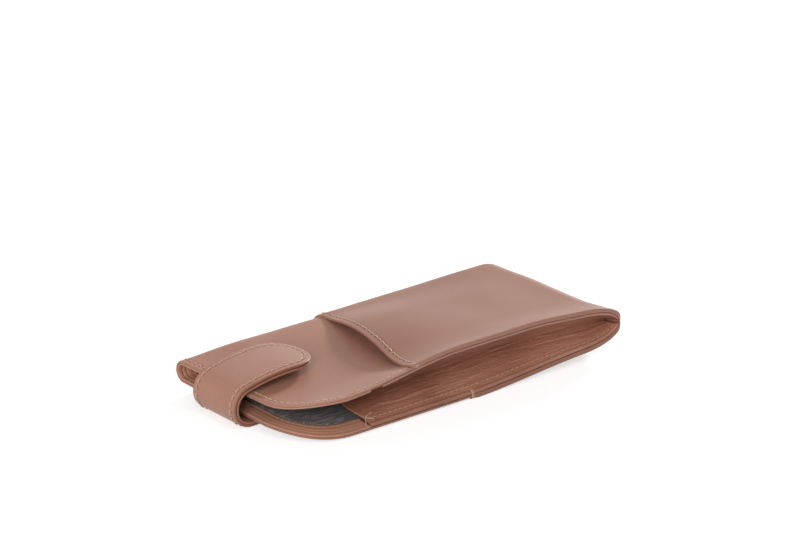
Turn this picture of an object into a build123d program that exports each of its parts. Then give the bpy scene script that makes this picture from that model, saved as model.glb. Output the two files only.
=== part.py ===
from build123d import *
import os
from collections import namedtuple
from math import asin, cos, degrees, pi, radians, sin, sqrt, tan

os.makedirs("parts", exist_ok=True)

# Soft leather spectacle case with a slip pocket, a folded gusset on one long side and a strap that
# goes round the mouth and closes on the front with a concealed press stud. Millimetres, +Z up.
# The case lies on its back: the mouth is at low X, the sewn end at high X, the gusset at low Y and
# the folded long side at high Y. The origin is the middle of the whole, on the resting plane.

# Case, measured over the pocket leather
case_length = 165.0
case_width = 82.4
nose_round = 10.0  # depth of the rounded closed end, and its corner at the fold
near_nose = 20.0  # depth of that rounding at the near edge
mouth_corner = 25.0  # rounding of both panels at the mouth, gusset side
end_corner = 3.0  # rounding of both panels at the closed end, gusset side
mouth_spread = 1.3  # how far the flattened fold spreads at the mouth

# Heights of the front, over the pocket leather: at the near edge, midway and at the fold
mouth_near_top = 19.0
near_top = 25.2
end_near_top = 22.6
mouth_mid_top = 14.9
mid_top = 19.7
end_mid_top = 18.1
mouth_fold_top = 14.5
fold_top = 17.0
near_reach = 22.0  # width of the raised edge on the gusset side
near_lead = 12.0  # how far outside that edge its rise would level out
near_curl = 0.85  # share of the rise that keeps to this width
pocket_arch = 4.6  # how far the pocket stands off the front panel at its mouth
pocket_arch_y = -1.0  # crown of that arch, and half its span
pocket_arch_span = 33.5

# Heights of the back: lifted at the mouth by the strap and at the end by the stiff seam
mouth_near_low = -0.3
end_near_low = 4.2
mouth_fold_low = 3.2
end_low = 0.8
rest_dip = 0.3  # how much the leather flattens where it rests

# Stretches along the case over which those heights change
mouth_growth = 30.0
near_rise = 20.0
near_growth = 80.0
dip_start = 20.0
dip_end = 110.0
low_growth = 55.0
strap_growth = 75.0
end_taper = 40.0
end_lift = 75.0
pocket_fade = 55.0

# Layers, from the outside in
leather = 0.9
glue = 0.1
board = 0.8
cloth = 0.4
facing_leather = 0.8
gusset_leather = 0.9

# Pocket mouth, where its hem crosses the near edge and the fold
pocket_near_front = 54.5
pocket_fold = 68.5
pocket_near_back = 84.5

# Edges of the inner layers
facing_width = 8.0
lining_step = 0.3  # from the facing's edge to the lining's
board_step = 1.0  # from the facing's edge to the board's
gusset_start = 34.0
gusset_flange = 4.0
gusset_depth = 16.0
gusset_end_depth = 7.0
gusset_seat = 0.15
gusset_turn = 6.0  # how far the gusset runs into the rounded end

# Strap
strap_width = 27.0
strap_y = 5.7
strap_leather = 1.1
strap_core = 0.5
strap_backing = 1.0
core_inset = 3.0  # from the tongue's edge to the core's
root_end = 42.0
root_seat = 0.5  # from the strap's root to the back panel
root_skive = 0.25  # thickness of the skived backing at the sewn end of the root
loop_place = 0.5  # centre of the bend, from the mouth
tongue_rise = 15.0  # slope at which the tongue leaves the bend, degrees
tongue_lift = 3.8  # from the front panel to the tongue at the press stud
tongue_end = 37.0
bend_gap = 0.3

# Press stud
stud_place = 21.5  # from the mouth
stud_flange = 9.0
stud_flange_thickness = 0.5
stud_ball = 3.4
stud_neck = 2.8
stud_grip = 1.0
socket_bore = 4.7
socket_width = 10.5
rivet = 1.8
rivet_clearance = 0.15
rivet_base = 8.0
rivet_plate = 0.4
cap_width = 11.0
spring_wire = 0.6
spring_opening = 50.0  # opening of the ring spring, degrees
spring_play = 0.05
fit_gap = 0.2

# How finely the forms are made
form_steps = 10
panel_steps = 7
fold_steps = 8
gusset_steps = 8
nose_angles = (21, 44, 67, 84)  # stations round the closed end, degrees
high = 60.0  # taller than the case, for cutters
run_out = 3.0  # how far the closed forms run out past the open sides

# Worked out from the sizes above
near_y = -case_width / 2
far_y = case_width / 2
nose_start = case_length - nose_round
body_depth = leather + glue
inside_depth = body_depth + leather
layer_depth = inside_depth + glue
lining_depth = layer_depth + board + glue
strap_thickness = strap_leather + strap_core + strap_backing + 2 * glue
mouth_mid_low = strap_thickness + root_seat - body_depth

Section = namedtuple("Section", "near_top mid_top fold_top near_low mid_low fold_low far arch")


def ease(place, start, end):
    """Smooth step from 0 at start to 1 at end."""
    t = min(1.0, max(0.0, (place - start) / (end - start)))
    return t * t * (3 - 2 * t)


def section(place, depth, arch=0.0):
    """Heights of a layer's face at a distance from the mouth, at a depth under the pocket's face."""
    s = min(place, nose_start)
    mouth = 1 - ease(s, 0, mouth_growth)
    dip = ease(s, dip_start, dip_end)
    end = ease(s, nose_start - end_taper, nose_start)
    tops = (
        near_top - (near_top - mouth_near_top) * (1 - ease(s, near_rise, near_growth))
        - (near_top - end_near_top) * end,
        mouth_mid_top + (mid_top - mouth_mid_top) * dip - (mid_top - end_mid_top) * end,
        fold_top - (fold_top - mouth_fold_top) * mouth,
    )
    low_lift = 1 - ease(s, 0, low_growth)
    strap_lift = 1 - ease(s, 0, strap_growth)
    lows = (
        -rest_dip + (mouth_near_low + rest_dip) * low_lift
        + (end_near_low + rest_dip) * ease(s, nose_start - end_lift, nose_start),
        -rest_dip + (mouth_mid_low + rest_dip) * strap_lift + (end_low + rest_dip) * end,
        -rest_dip + (mouth_fold_low + rest_dip) * low_lift + (end_low + rest_dip) * end,
    )
    shrink = 1.0
    if place > nose_start:
        shrink = sqrt(max(0.0, 1 - ((place - nose_start) / (nose_round - depth)) ** 2))
    near_shrink = 1.0
    if place > case_length - near_nose:
        near_shrink = sqrt(max(0.0, 1 - ((place - case_length + near_nose) / (near_nose - depth)) ** 2))
    shrinks = (near_shrink, shrink, shrink)
    middles = [(t + l) / 2 for t, l in zip(tops, lows)]
    halves = [((t - l) / 2 - depth) * k for t, l, k in zip(tops, lows, shrinks)]
    far = far_y - nose_round + (nose_round - depth) * shrink + mouth_spread * mouth
    arch_here = arch * (1 - ease(s, pocket_fold, pocket_fold + pocket_fade))
    heights = [m + h for m, h in zip(middles, halves)] + [m - h for m, h in zip(middles, halves)]
    return Section(*heights, far, arch_here)


# The strap's bend and tongue are two arcs that meet at the tongue's rise. The tongue runs level over
# the press stud, at its lift above the front panel there.
stud_run = stud_place - loop_place
crown_height = section(stud_place, body_depth).mid_top + tongue_lift + strap_thickness
loop_radius = (crown_height - stud_run * tan(radians(tongue_rise / 2))) / 2
tongue_radius = loop_radius + stud_run / sin(radians(tongue_rise))

# The origin is the middle of the whole, from the bend of the strap to the closed end
mouth_x = (loop_radius - loop_place - case_length) / 2
stud_x = mouth_x + stud_place
loop_centre_x = mouth_x + loop_place
loop_centre_z = loop_radius
tongue_centre_x = stud_x
tongue_centre_z = crown_height - tongue_radius
tongue_under = crown_height - strap_thickness
stud_axis = Plane(origin=(stud_x, strap_y, 0), x_dir=(1, 0, 0), z_dir=(0, -1, 0))


def places(depth):
    """Stations of a loft: even steps along the case, then closing steps round the end."""
    straight = [-run_out] + [nose_start * k / form_steps for k in range(1, form_steps + 1)]
    return straight + [nose_start + (nose_round - depth) * sin(radians(a)) for a in nose_angles]


def across(y, fold_y, near, mid, fold):
    """Height at y of a face that goes from the near edge by the middle to the start of the fold."""
    if y < strap_y:
        lead = near_y - near_lead
        at_edge = ease(near_y, lead, near_y + near_reach)
        close = (ease(y, lead, near_y + near_reach) - at_edge) / (1 - at_edge)
        wide = ease(y, near_y - run_out, strap_y)
        return near + (mid - near) * (near_curl * close + (1 - near_curl) * wide)
    return mid + (fold - mid) * ease(y, strap_y, fold_y)


def arch_share(y):
    """Share of the pocket's arch at y: a hill that starts and ends smoothly."""
    return max(0.0, 1 - ((y - pocket_arch_y) / pocket_arch_span) ** 2) ** 1.5


def panel_points(at):
    """Points (y, z) across the front and the back of a closed form, from the near side to the fold."""
    fold_y = at.far - (at.fold_top - at.fold_low) / 2
    open_y = near_y - run_out
    rows = [open_y + (fold_y - open_y) * k / panel_steps for k in range(panel_steps)]
    front = [
        (y, across(y, fold_y, at.near_top, at.mid_top, at.fold_top) + at.arch * arch_share(y))
        for y in rows
    ]
    back = [(y, across(y, fold_y, at.near_low, at.mid_low, at.fold_low)) for y in rows]
    return front, back


def outline(place, at):
    """Face across a closed form: over the front, round the fold and back under the back."""
    front, back = panel_points(at)
    radius = (at.fold_top - at.fold_low) / 2
    fold_z = (at.fold_top + at.fold_low) / 2
    turns = [pi * k / fold_steps for k in range(fold_steps + 1)]
    fold = [(at.far - radius + radius * sin(t), fold_z + radius * cos(t)) for t in turns]
    points = [(mouth_x + place, y, z) for y, z in front + fold + back[::-1]]
    return Face(Wire.make_polygon(points, close=True))


def form(depth, arch=0.0):
    """Closed body bounded by one face of a layer, run out past the mouth and the near edge."""
    outlines = [outline(place, section(place, depth, arch)) for place in places(depth)]
    with BuildPart() as shape:
        loft(outlines, ruled=True)
    return shape.part


def plan(inset):
    """Upright prism over the outline of the panels, drawn in by inset from the open edges."""
    west = mouth_x + inset
    south = near_y + inset
    east = mouth_x + case_length
    north = far_y + nose_round
    radius = mouth_corner - inset
    with BuildPart() as prism:
        with BuildSketch(Plane.XY.offset(-high / 2)):
            with BuildLine():
                Polyline((east, south + end_corner), (east, north), (west, north), (west, south + radius))
                RadiusArc((west, south + radius), (west + radius, south), -radius)
                Line((west + radius, south), (east - end_corner, south))
                RadiusArc((east - end_corner, south), (east, south + end_corner), -end_corner)
            make_face()
        extrude(amount=high)
    return prism.part


# Faces of the layers, each a whole closed form
pocket_outside = form(0, pocket_arch)
pocket_inside = form(leather, pocket_arch)
body_outside = form(body_depth)
body_inside = form(inside_depth)
layer_outside = form(layer_depth)
facing_inside = form(layer_depth + facing_leather)
board_inside = form(layer_depth + board)
lining_outside = form(lining_depth)
lining_inside = form(lining_depth + cloth)
panels = plan(0)

# Heights of the front panel over the press stud, where its flange and its post's plate seat
with BuildPart() as flange_column:
    with Locations((stud_x, strap_y, 0)):
        Cylinder(stud_flange / 2, 2 * high)
    add(body_outside, mode=Mode.INTERSECT)
panel_top = flange_column.part.bounding_box().max.Z
with BuildPart() as plate_column:
    with Locations((stud_x, strap_y, 0)):
        Cylinder(rivet_base / 2, 2 * high)
    add(body_inside, mode=Mode.INTERSECT)
panel_under = min(
    face.bounding_box().min.Z for face in plate_column.faces().filter_by(GeomType.BSPLINE)
    if face.center().Z > mid_top / 2
)
plate_low = panel_under - glue - rivet_plate

with BuildPart() as body_leather:
    add(body_outside)
    add(body_inside, mode=Mode.SUBTRACT)
    add(panels, mode=Mode.INTERSECT)
    with Locations((stud_x, strap_y, panel_under + leather / 2)):
        Cylinder(rivet / 2 + rivet_clearance, 3 * leather, mode=Mode.SUBTRACT)
body_leather.part.label = "body_leather"
export_step(body_leather.part, "parts/body_leather.step")

# The pocket leather is a second skin. Its mouth slants from the near edge to the fold on the front,
# and back to the near edge on the back, so that it makes a slip pocket on each side.
middle_z = (fold_top - rest_dip) / 2
with BuildPart() as pocket_leather:
    add(pocket_outside)
    add(pocket_inside, mode=Mode.SUBTRACT)
    add(panels, mode=Mode.INTERSECT)
    for near_place, level, rise in (
        (pocket_near_front, middle_z, high),
        (pocket_near_back, middle_z, -high),
    ):
        with BuildSketch(Plane.XY.offset(level)):
            with BuildLine():
                slope = (pocket_fold - near_place) / case_width
                past = nose_round
                Polyline(
                    (mouth_x - past, near_y - past),
                    (mouth_x + near_place - slope * past, near_y - past),
                    (mouth_x + pocket_fold + slope * past, far_y + past),
                    (mouth_x - past, far_y + past),
                    close=True,
                )
            make_face()
        extrude(amount=rise, mode=Mode.SUBTRACT)
    with BuildSketch(Plane.XY):
        Rectangle(2 * case_length, 2 * case_width)
    extrude(amount=-high, mode=Mode.SUBTRACT)
pocket_leather.part.label = "pocket_leather"
export_step(pocket_leather.part, "parts/pocket_leather.step")

# Facing: a band inside the edge of the mouth, from one end of the gusset to the other
inner_plan = plan(facing_width)
with BuildPart() as mouth_facing:
    add(layer_outside)
    add(facing_inside, mode=Mode.SUBTRACT)
    add(panels, mode=Mode.INTERSECT)
    add(inner_plan, mode=Mode.SUBTRACT)
    with BuildSketch(Plane.XY.offset(-high / 2)):
        with Locations((mouth_x + gusset_start - glue + case_length / 2, 0)):
            Rectangle(case_length, 2 * case_width)
    extrude(amount=high, mode=Mode.SUBTRACT)
mouth_facing.part.label = "mouth_facing"
export_step(mouth_facing.part, "parts/mouth_facing.step")

# Lining: one sheet of cloth over both boards and round the fold, dished for the press stud's plate
lining_plan = plan(facing_width + lining_step)
with BuildPart() as lining:
    add(lining_outside)
    add(lining_inside, mode=Mode.SUBTRACT)
    add(lining_plan, mode=Mode.INTERSECT)
    with Locations((stud_x, strap_y, plate_low)):
        Cylinder(
            rivet_base / 2 + fit_gap, high / 4, align=(Align.CENTER, Align.CENTER, Align.MIN),
            mode=Mode.SUBTRACT,
        )
lining.part.label = "lining"
export_step(lining.part, "parts/lining.step")

# Stiffener boards: flat sheets in the front and the back, clear of the fold and of the closed end
board_plan = plan(facing_width + board_step)
fold_radius = (fold_top + rest_dip) / 2
board_far = far_y - fold_radius - glue
board_end = nose_start - board_step
with BuildPart() as boards:
    add(layer_outside)
    add(board_inside, mode=Mode.SUBTRACT)
    add(board_plan, mode=Mode.INTERSECT)
    with BuildSketch(Plane.XY.offset(-high / 2)):
        with Locations((mouth_x + board_end - case_length, board_far - case_width)):
            Rectangle(2 * case_length, 2 * case_width)
    extrude(amount=high, mode=Mode.INTERSECT)
for name, board_part in zip(("back_board", "front_board"), boards.solids().sort_by(Axis.Z)):
    with BuildPart() as sheet:
        add(board_part)
        if name == "front_board":
            with Locations((stud_x, strap_y, panel_under)):
                Cylinder(rivet_base / 2 + fit_gap, high / 4, mode=Mode.SUBTRACT)
    sheet.part.label = name
    export_step(sheet.part, f"parts/{name}.step")

# Gusset: a strip folded inwards, its two flanges sewn under the near edges of the panels
def gusset_profile(place):
    """Outline of the folded strip at a distance from the mouth."""
    at = section(place, layer_depth + gusset_seat)
    front, back = panel_points(at)
    top_slope = (front[1][1] - front[0][1]) / (front[1][0] - front[0][0])
    low_slope = (back[1][1] - back[0][1]) / (back[1][0] - back[0][0])
    edge_top = front[0][1] + top_slope * run_out
    edge_low = back[0][1] + low_slope * run_out
    crease_top = edge_top + top_slope * gusset_flange
    crease_low = edge_low + low_slope * gusset_flange
    deep = gusset_depth - (gusset_depth - gusset_end_depth) * ease(
        place, nose_start - end_taper, nose_start
    )
    crease = near_y + gusset_flange
    valley = near_y + deep
    middle = (crease_top + crease_low) / 2
    half = (crease_top - crease_low) / 2
    lean = half / sqrt(half**2 + (deep - gusset_flange) ** 2)
    behind = gusset_leather / lean
    step = gusset_leather * (1 - sqrt(1 - lean**2)) / lean
    return [
        (near_y, edge_top),
        (crease, crease_top),
        (valley, middle),
        (crease, crease_low),
        (near_y, edge_low),
        (near_y, edge_low + gusset_leather),
        (crease - step, crease_low + gusset_leather),
        (valley - behind, middle),
        (crease - step, crease_top - gusset_leather),
        (near_y, edge_top - gusset_leather),
    ]


gusset_run = nose_start - gusset_start
gusset_places = [gusset_start + gusset_run * k / gusset_steps for k in range(gusset_steps + 1)]
gusset_last = nose_start + min(gusset_turn, nose_round - layer_depth - gusset_leather)
with BuildPart() as gusset:
    for station in gusset_places + [gusset_last]:
        with BuildSketch(Plane.YZ.offset(mouth_x + station)):
            with BuildLine():
                Polyline(*gusset_profile(station), close=True)
            make_face()
    loft(ruled=True)
    add(panels, mode=Mode.INTERSECT)
gusset.part.label = "gusset"
export_step(gusset.part, "parts/gusset.step")


# Strap: one strip in three stretches, root, bend and tongue, each a layer of outer leather and a
# backing. The tongue also has a core. The bend is the middle of the turn round the mouth.
turn = 180 - tongue_rise
first_split = 270 - turn / 4
second_split = 270 - 3 * turn / 4
strap_side = Plane(origin=(loop_centre_x, strap_y, loop_centre_z), x_dir=(1, 0, 0), z_dir=(0, -1, 0))
tongue_side = Plane(origin=(tongue_centre_x, strap_y, tongue_centre_z), x_dir=(1, 0, 0), z_dir=(0, -1, 0))
half_gap = degrees(bend_gap / 2 / loop_radius)


def ring_piece(outer, inner, start, end):
    """Closed outline of a stretch of a ring, angles in degrees."""
    CenterArc((0, 0), outer, start, end - start)
    CenterArc((0, 0), inner, start, end - start)
    for angle in (start, end):
        way = (cos(radians(angle)), sin(radians(angle)))
        Line((outer * way[0], outer * way[1]), (inner * way[0], inner * way[1]))


def root_layer(low, high_near, high_end):
    """Root of the strap between two depths: flat under the back, with the first part of the bend."""
    outer = loop_radius - low
    inner = loop_radius - high_near
    with BuildPart() as piece:
        with BuildSketch(strap_side):
            with BuildLine():
                ring_piece(outer, inner, first_split + half_gap, 270)
            make_face()
            with BuildLine():
                run = root_end - loop_place
                Polyline(
                    (0, -outer), (run, -outer), (run, high_end - loop_radius), (0, -inner), close=True
                )
            make_face()
        extrude(amount=strap_width / 2, both=True)
    return piece.part


def bend_layer(low, up):
    """Bend of the strap between two depths."""
    with BuildPart() as piece:
        with BuildSketch(strap_side):
            with BuildLine():
                ring_piece(
                    loop_radius - low, loop_radius - up, second_split + half_gap, first_split - half_gap
                )
            make_face()
        extrude(amount=strap_width / 2, both=True)
    return piece.part


def tongue_layer(low, up, inset=0.0):
    """Tongue between two depths, with the last part of the bend and a round tip."""
    leave = 90 + tongue_rise
    round_radius = strap_width / 2 - inset
    tip_x = mouth_x + tongue_end - inset
    past_tip = 90 - degrees(asin((tip_x + round_radius / 4 - tongue_centre_x) / tongue_radius))
    with BuildPart() as piece:
        with BuildSketch(strap_side):
            with BuildLine():
                ring_piece(loop_radius - low, loop_radius - up, leave, second_split - half_gap)
            make_face()
        extrude(amount=round_radius, both=True)
        with BuildSketch(tongue_side):
            with BuildLine():
                ring_piece(tongue_radius - low, tongue_radius - up, past_tip, leave)
            make_face()
        extrude(amount=round_radius, both=True)
        with BuildSketch(Plane.XY):
            with BuildLine():
                west = loop_centre_x - 2 * loop_radius
                Polyline(
                    (tip_x - round_radius, strap_y + round_radius),
                    (west, strap_y + round_radius),
                    (west, strap_y - round_radius),
                    (tip_x - round_radius, strap_y - round_radius),
                )
                ThreePointArc(
                    (tip_x - round_radius, strap_y - round_radius),
                    (tip_x, strap_y),
                    (tip_x - round_radius, strap_y + round_radius),
                )
            make_face()
        extrude(amount=high, mode=Mode.INTERSECT)
    return piece.part


backing_low = strap_thickness - strap_backing
strap_layers = {
    "strap_root_leather": root_layer(0, strap_leather, strap_leather),
    "strap_root_backing": root_layer(
        strap_leather + glue, strap_thickness, strap_leather + glue + root_skive
    ),
    "strap_bend_leather": bend_layer(0, strap_leather),
    "strap_bend_backing": bend_layer(strap_leather + glue, strap_thickness),
}
for name, layer in strap_layers.items():
    with BuildPart() as strap_piece:
        add(layer)
    strap_piece.part.label = name
    export_step(strap_piece.part, f"parts/{name}.step")

cap_sag = tongue_radius - sqrt(tongue_radius**2 - (cap_width / 2) ** 2)
cap_top = tongue_centre_z + tongue_radius - strap_leather - glue - cap_sag
cap_plate = strap_core - cap_sag
tongue_leather_form = tongue_layer(0, strap_leather)
tongue_core_form = tongue_layer(strap_leather + glue, strap_leather + glue + strap_core, core_inset)
tongue_backing_form = tongue_layer(backing_low, strap_thickness)

with BuildPart() as strap_tongue_leather:
    add(tongue_leather_form)
strap_tongue_leather.part.label = "strap_tongue_leather"
export_step(strap_tongue_leather.part, "parts/strap_tongue_leather.step")

with BuildPart() as strap_tongue_core:
    add(tongue_core_form)
    with Locations((stud_x, strap_y, cap_top)):
        Cylinder(cap_width / 2 + fit_gap, high / 4, mode=Mode.SUBTRACT)
strap_tongue_core.part.label = "strap_tongue_core"
export_step(strap_tongue_core.part, "parts/strap_tongue_core.step")

with BuildPart() as strap_tongue_backing:
    add(tongue_backing_form)
    with Locations((stud_x, strap_y, tongue_under)):
        Cylinder(rivet / 2 + rivet_clearance, high / 4, mode=Mode.SUBTRACT)
strap_tongue_backing.part.label = "strap_tongue_backing"
export_step(strap_tongue_backing.part, "parts/strap_tongue_backing.step")

# Press stud. In the front panel a riveted post holds the stud, in the tongue a riveted cap holds
# the socket. The stud's ball reaches into the socket by the grip, and the socket's ring spring lies
# in a groove round the ball, drawn open.
stud_low = panel_top + glue
stud_face = stud_low + stud_flange_thickness
socket_low = stud_face + fit_gap
ball_top = socket_low + stud_grip
ball_middle = (stud_face + 2 * ball_top) / 3
neck_top = (stud_face + ball_middle) / 2
socket_top = tongue_under - glue - cap_sag
socket_floor = socket_low + stud_grip + fit_gap
socket_plate = socket_floor + rivet_plate
groove_radius = socket_bore / 2 + spring_wire + spring_play
groove_middle = (socket_low + socket_floor) / 2
groove_half = spring_wire / 2 + spring_play


def turned(points):
    """Turned piece: its outline is revolved about the press stud's axis."""
    with BuildPart() as piece:
        with BuildSketch(stud_axis):
            with BuildLine():
                Polyline(*points, close=True)
            make_face()
        revolve(axis=Axis((stud_x, strap_y, 0), (0, 0, 1)))
    return piece.part


bore = rivet / 2 + rivet_clearance
stud_form = turned([
    (bore, stud_low),
    (stud_flange / 2, stud_low),
    (stud_flange / 2, stud_face),
    (stud_neck / 2, stud_face),
    (stud_neck / 2, neck_top),
    (stud_ball / 2, ball_middle),
    (stud_neck / 2, ball_top),
    (bore, ball_top),
])
post_form = turned([
    (0, plate_low),
    (rivet_base / 2, plate_low),
    (rivet_base / 2, panel_under - glue),
    (rivet / 2, panel_under - glue),
    (rivet / 2, ball_top - glue),
    (0, ball_top - glue),
])
socket_form = turned([
    (bore, socket_top),
    (bore, socket_plate),
    (socket_bore / 2, socket_plate),
    (socket_bore / 2, groove_middle + groove_half),
    (groove_radius, groove_middle + groove_half),
    (groove_radius, groove_middle - groove_half),
    (socket_bore / 2, groove_middle - groove_half),
    (socket_bore / 2, socket_low),
    (socket_width / 2, socket_low),
    (socket_width / 2, socket_top),
])
cap_form = turned([
    (0, cap_top),
    (cap_width / 2, cap_top),
    (cap_width / 2, cap_top - cap_plate),
    (rivet / 2, cap_top - cap_plate),
    (rivet / 2, socket_plate),
    (0, socket_plate),
])
press_stud = {
    "snap_stud": stud_form,
    "snap_post": post_form,
    "snap_socket": socket_form,
    "snap_cap": cap_form,
}
for name, turned_form in press_stud.items():
    with BuildPart() as snap_piece:
        add(turned_form)
    snap_piece.part.label = name
    export_step(snap_piece.part, f"parts/{name}.step")

with BuildPart() as snap_spring:
    with BuildSketch(stud_axis):
        with Locations((socket_bore / 2 + spring_wire / 2, groove_middle)):
            RegularPolygon(spring_wire / 2, 6)
    revolve(axis=Axis((stud_x, strap_y, 0), (0, 0, 1)), revolution_arc=360 - spring_opening)
snap_spring.part.label = "snap_spring"
export_step(snap_spring.part, "parts/snap_spring.step")

# Bend axes, just outside the strap, for the joints
for name, angle in (("root bend", first_split), ("tongue bend", second_split)):
    reach = loop_radius + glue
    axis_x = loop_centre_x + reach * cos(radians(angle))
    axis_z = loop_centre_z + reach * sin(radians(angle))
    print(f"{name} axis x {axis_x:.3f} z {axis_z:.3f}")
print(f"stud x {stud_x:.2f} panel top {panel_top:.2f} tongue under {tongue_under:.2f} turn {turn:.1f}")
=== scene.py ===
"""Looks of a soft leather spectacle case: a slip pocket, a folded gusset and a strap with a press stud.

Sizes are in millimetres. The frame is the solid model's own: +X runs from the mouth to the sewn end,
+Y from the gusset to the folded side, +Z from the back that the case lies on to its front.
"""

import logging
import math
from collections.abc import Sequence
from dataclasses import dataclass
from enum import Enum

import bpy
import numpy as np
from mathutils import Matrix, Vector


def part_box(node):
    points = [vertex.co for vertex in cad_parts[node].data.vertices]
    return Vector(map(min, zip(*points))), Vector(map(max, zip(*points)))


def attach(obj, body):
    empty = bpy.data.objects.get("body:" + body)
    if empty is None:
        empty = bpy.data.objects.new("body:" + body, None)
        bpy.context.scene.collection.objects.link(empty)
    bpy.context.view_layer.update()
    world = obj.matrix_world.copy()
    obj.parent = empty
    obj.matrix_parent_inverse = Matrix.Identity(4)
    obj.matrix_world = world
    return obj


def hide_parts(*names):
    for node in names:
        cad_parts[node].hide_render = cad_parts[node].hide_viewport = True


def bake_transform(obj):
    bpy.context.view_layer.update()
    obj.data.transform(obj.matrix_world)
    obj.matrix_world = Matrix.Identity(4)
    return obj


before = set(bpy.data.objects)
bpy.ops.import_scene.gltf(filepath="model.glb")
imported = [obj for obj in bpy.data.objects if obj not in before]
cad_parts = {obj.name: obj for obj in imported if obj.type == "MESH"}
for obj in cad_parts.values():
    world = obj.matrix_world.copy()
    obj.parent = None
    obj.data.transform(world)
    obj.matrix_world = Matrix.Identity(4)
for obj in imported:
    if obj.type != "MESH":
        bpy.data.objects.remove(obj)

MM = 0.001
QUARTER = math.pi / 2
WAVE_PERIOD = 0.31
WHITE = "FFFFFF"
MIX_COLOURS = {"data_type": "RGBA"}
MULTIPLY = {"operation": "MULTIPLY"}
EITHER = {"operation": "MAXIMUM"}
LOG = logging.getLogger("spectacle_case")


class Side(Enum):
    """The two panels of the case."""

    FRONT = 1
    BACK = -1


class Layer(Enum):
    """Layers of the strap, from the outside in."""

    OUTER = "outer"
    BACKING = "backing"


class Stretch(Enum):
    """The two stretches of the strap, parted at the middle of its bend."""

    LOWER = "lower"
    UPPER = "upper"


def linear(hex_colour: str) -> tuple[float, float, float, float]:
    """Turns an sRGB hex colour to linear light.

    Args:
        hex_colour: six hexadecimal digits.

    Returns:
        Red, green, blue and alpha.
    """
    channels = [int(hex_colour[i : i + 2], 16) / 255 for i in (0, 2, 4)]
    toned = [c / 12.92 if c <= 0.04045 else ((c + 0.055) / 1.055) ** 2.4 for c in channels]
    return (*toned, 1.0)


def ease(place: np.ndarray, start: float | np.ndarray, end: float | np.ndarray) -> np.ndarray:
    """Smooth step.

    Args:
        place: values to ease.
        start: value that gives 0.
        end: value that gives 1.

    Returns:
        The eased values, 0 to 1.
    """
    t = np.clip((place - start) / (end - start), 0.0, 1.0)
    return t * t * (3 - 2 * t)


def hollow(value: np.ndarray, centre: float | np.ndarray, width: float) -> np.ndarray:
    """Bell curve, 1 at its centre.

    Args:
        value: values to read it at.
        centre: its middle.
        width: distance to where it has fallen to 0.37.

    Returns:
        The curve at each value.
    """
    return np.exp(-(((value - centre) / width) ** 2))


def bend_corner(a: np.ndarray, b: np.ndarray, radius: float) -> tuple[np.ndarray, ...]:
    """Bends a square grid so that its lines follow a rounded corner.

    Args:
        a: shares of the radius left before the first edge.
        b: shares of the radius left before the second edge.
        radius: radius of the corner.

    Returns:
        Where the grid is inside the corner, and there its distances from the two edges.
    """
    inside = (a > 0) & (b > 0)
    big = np.where(inside, np.maximum(a, b), 1.0)
    turn = math.pi / 4 * np.minimum(a, b) / big
    angle = np.where(a >= b, turn, QUARTER - turn)
    return inside, radius - radius * big * np.cos(angle), radius - radius * big * np.sin(angle)


def add_node(
    tree: bpy.types.NodeTree, kind: str, inputs: dict | None = None, settings: dict | None = None
) -> bpy.types.Node:
    """Adds a node with its settings and links.

    Args:
        tree: tree that takes the node.
        kind: the node's type.
        inputs: for a socket's name or place, a value, an output to link, or a node whose first output
            is linked.
        settings: values of the node's properties.

    Returns:
        The node.
    """
    node = tree.nodes.new(kind)
    for key, value in (settings or {}).items():
        setattr(node, key, value)
    for key, value in (inputs or {}).items():
        if isinstance(value, bpy.types.Node):
            value = value.outputs[0]
        if isinstance(value, bpy.types.NodeSocket):
            tree.links.new(value, node.inputs[key])
        else:
            node.inputs[key].default_value = value
    return node


# Form of the case


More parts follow.
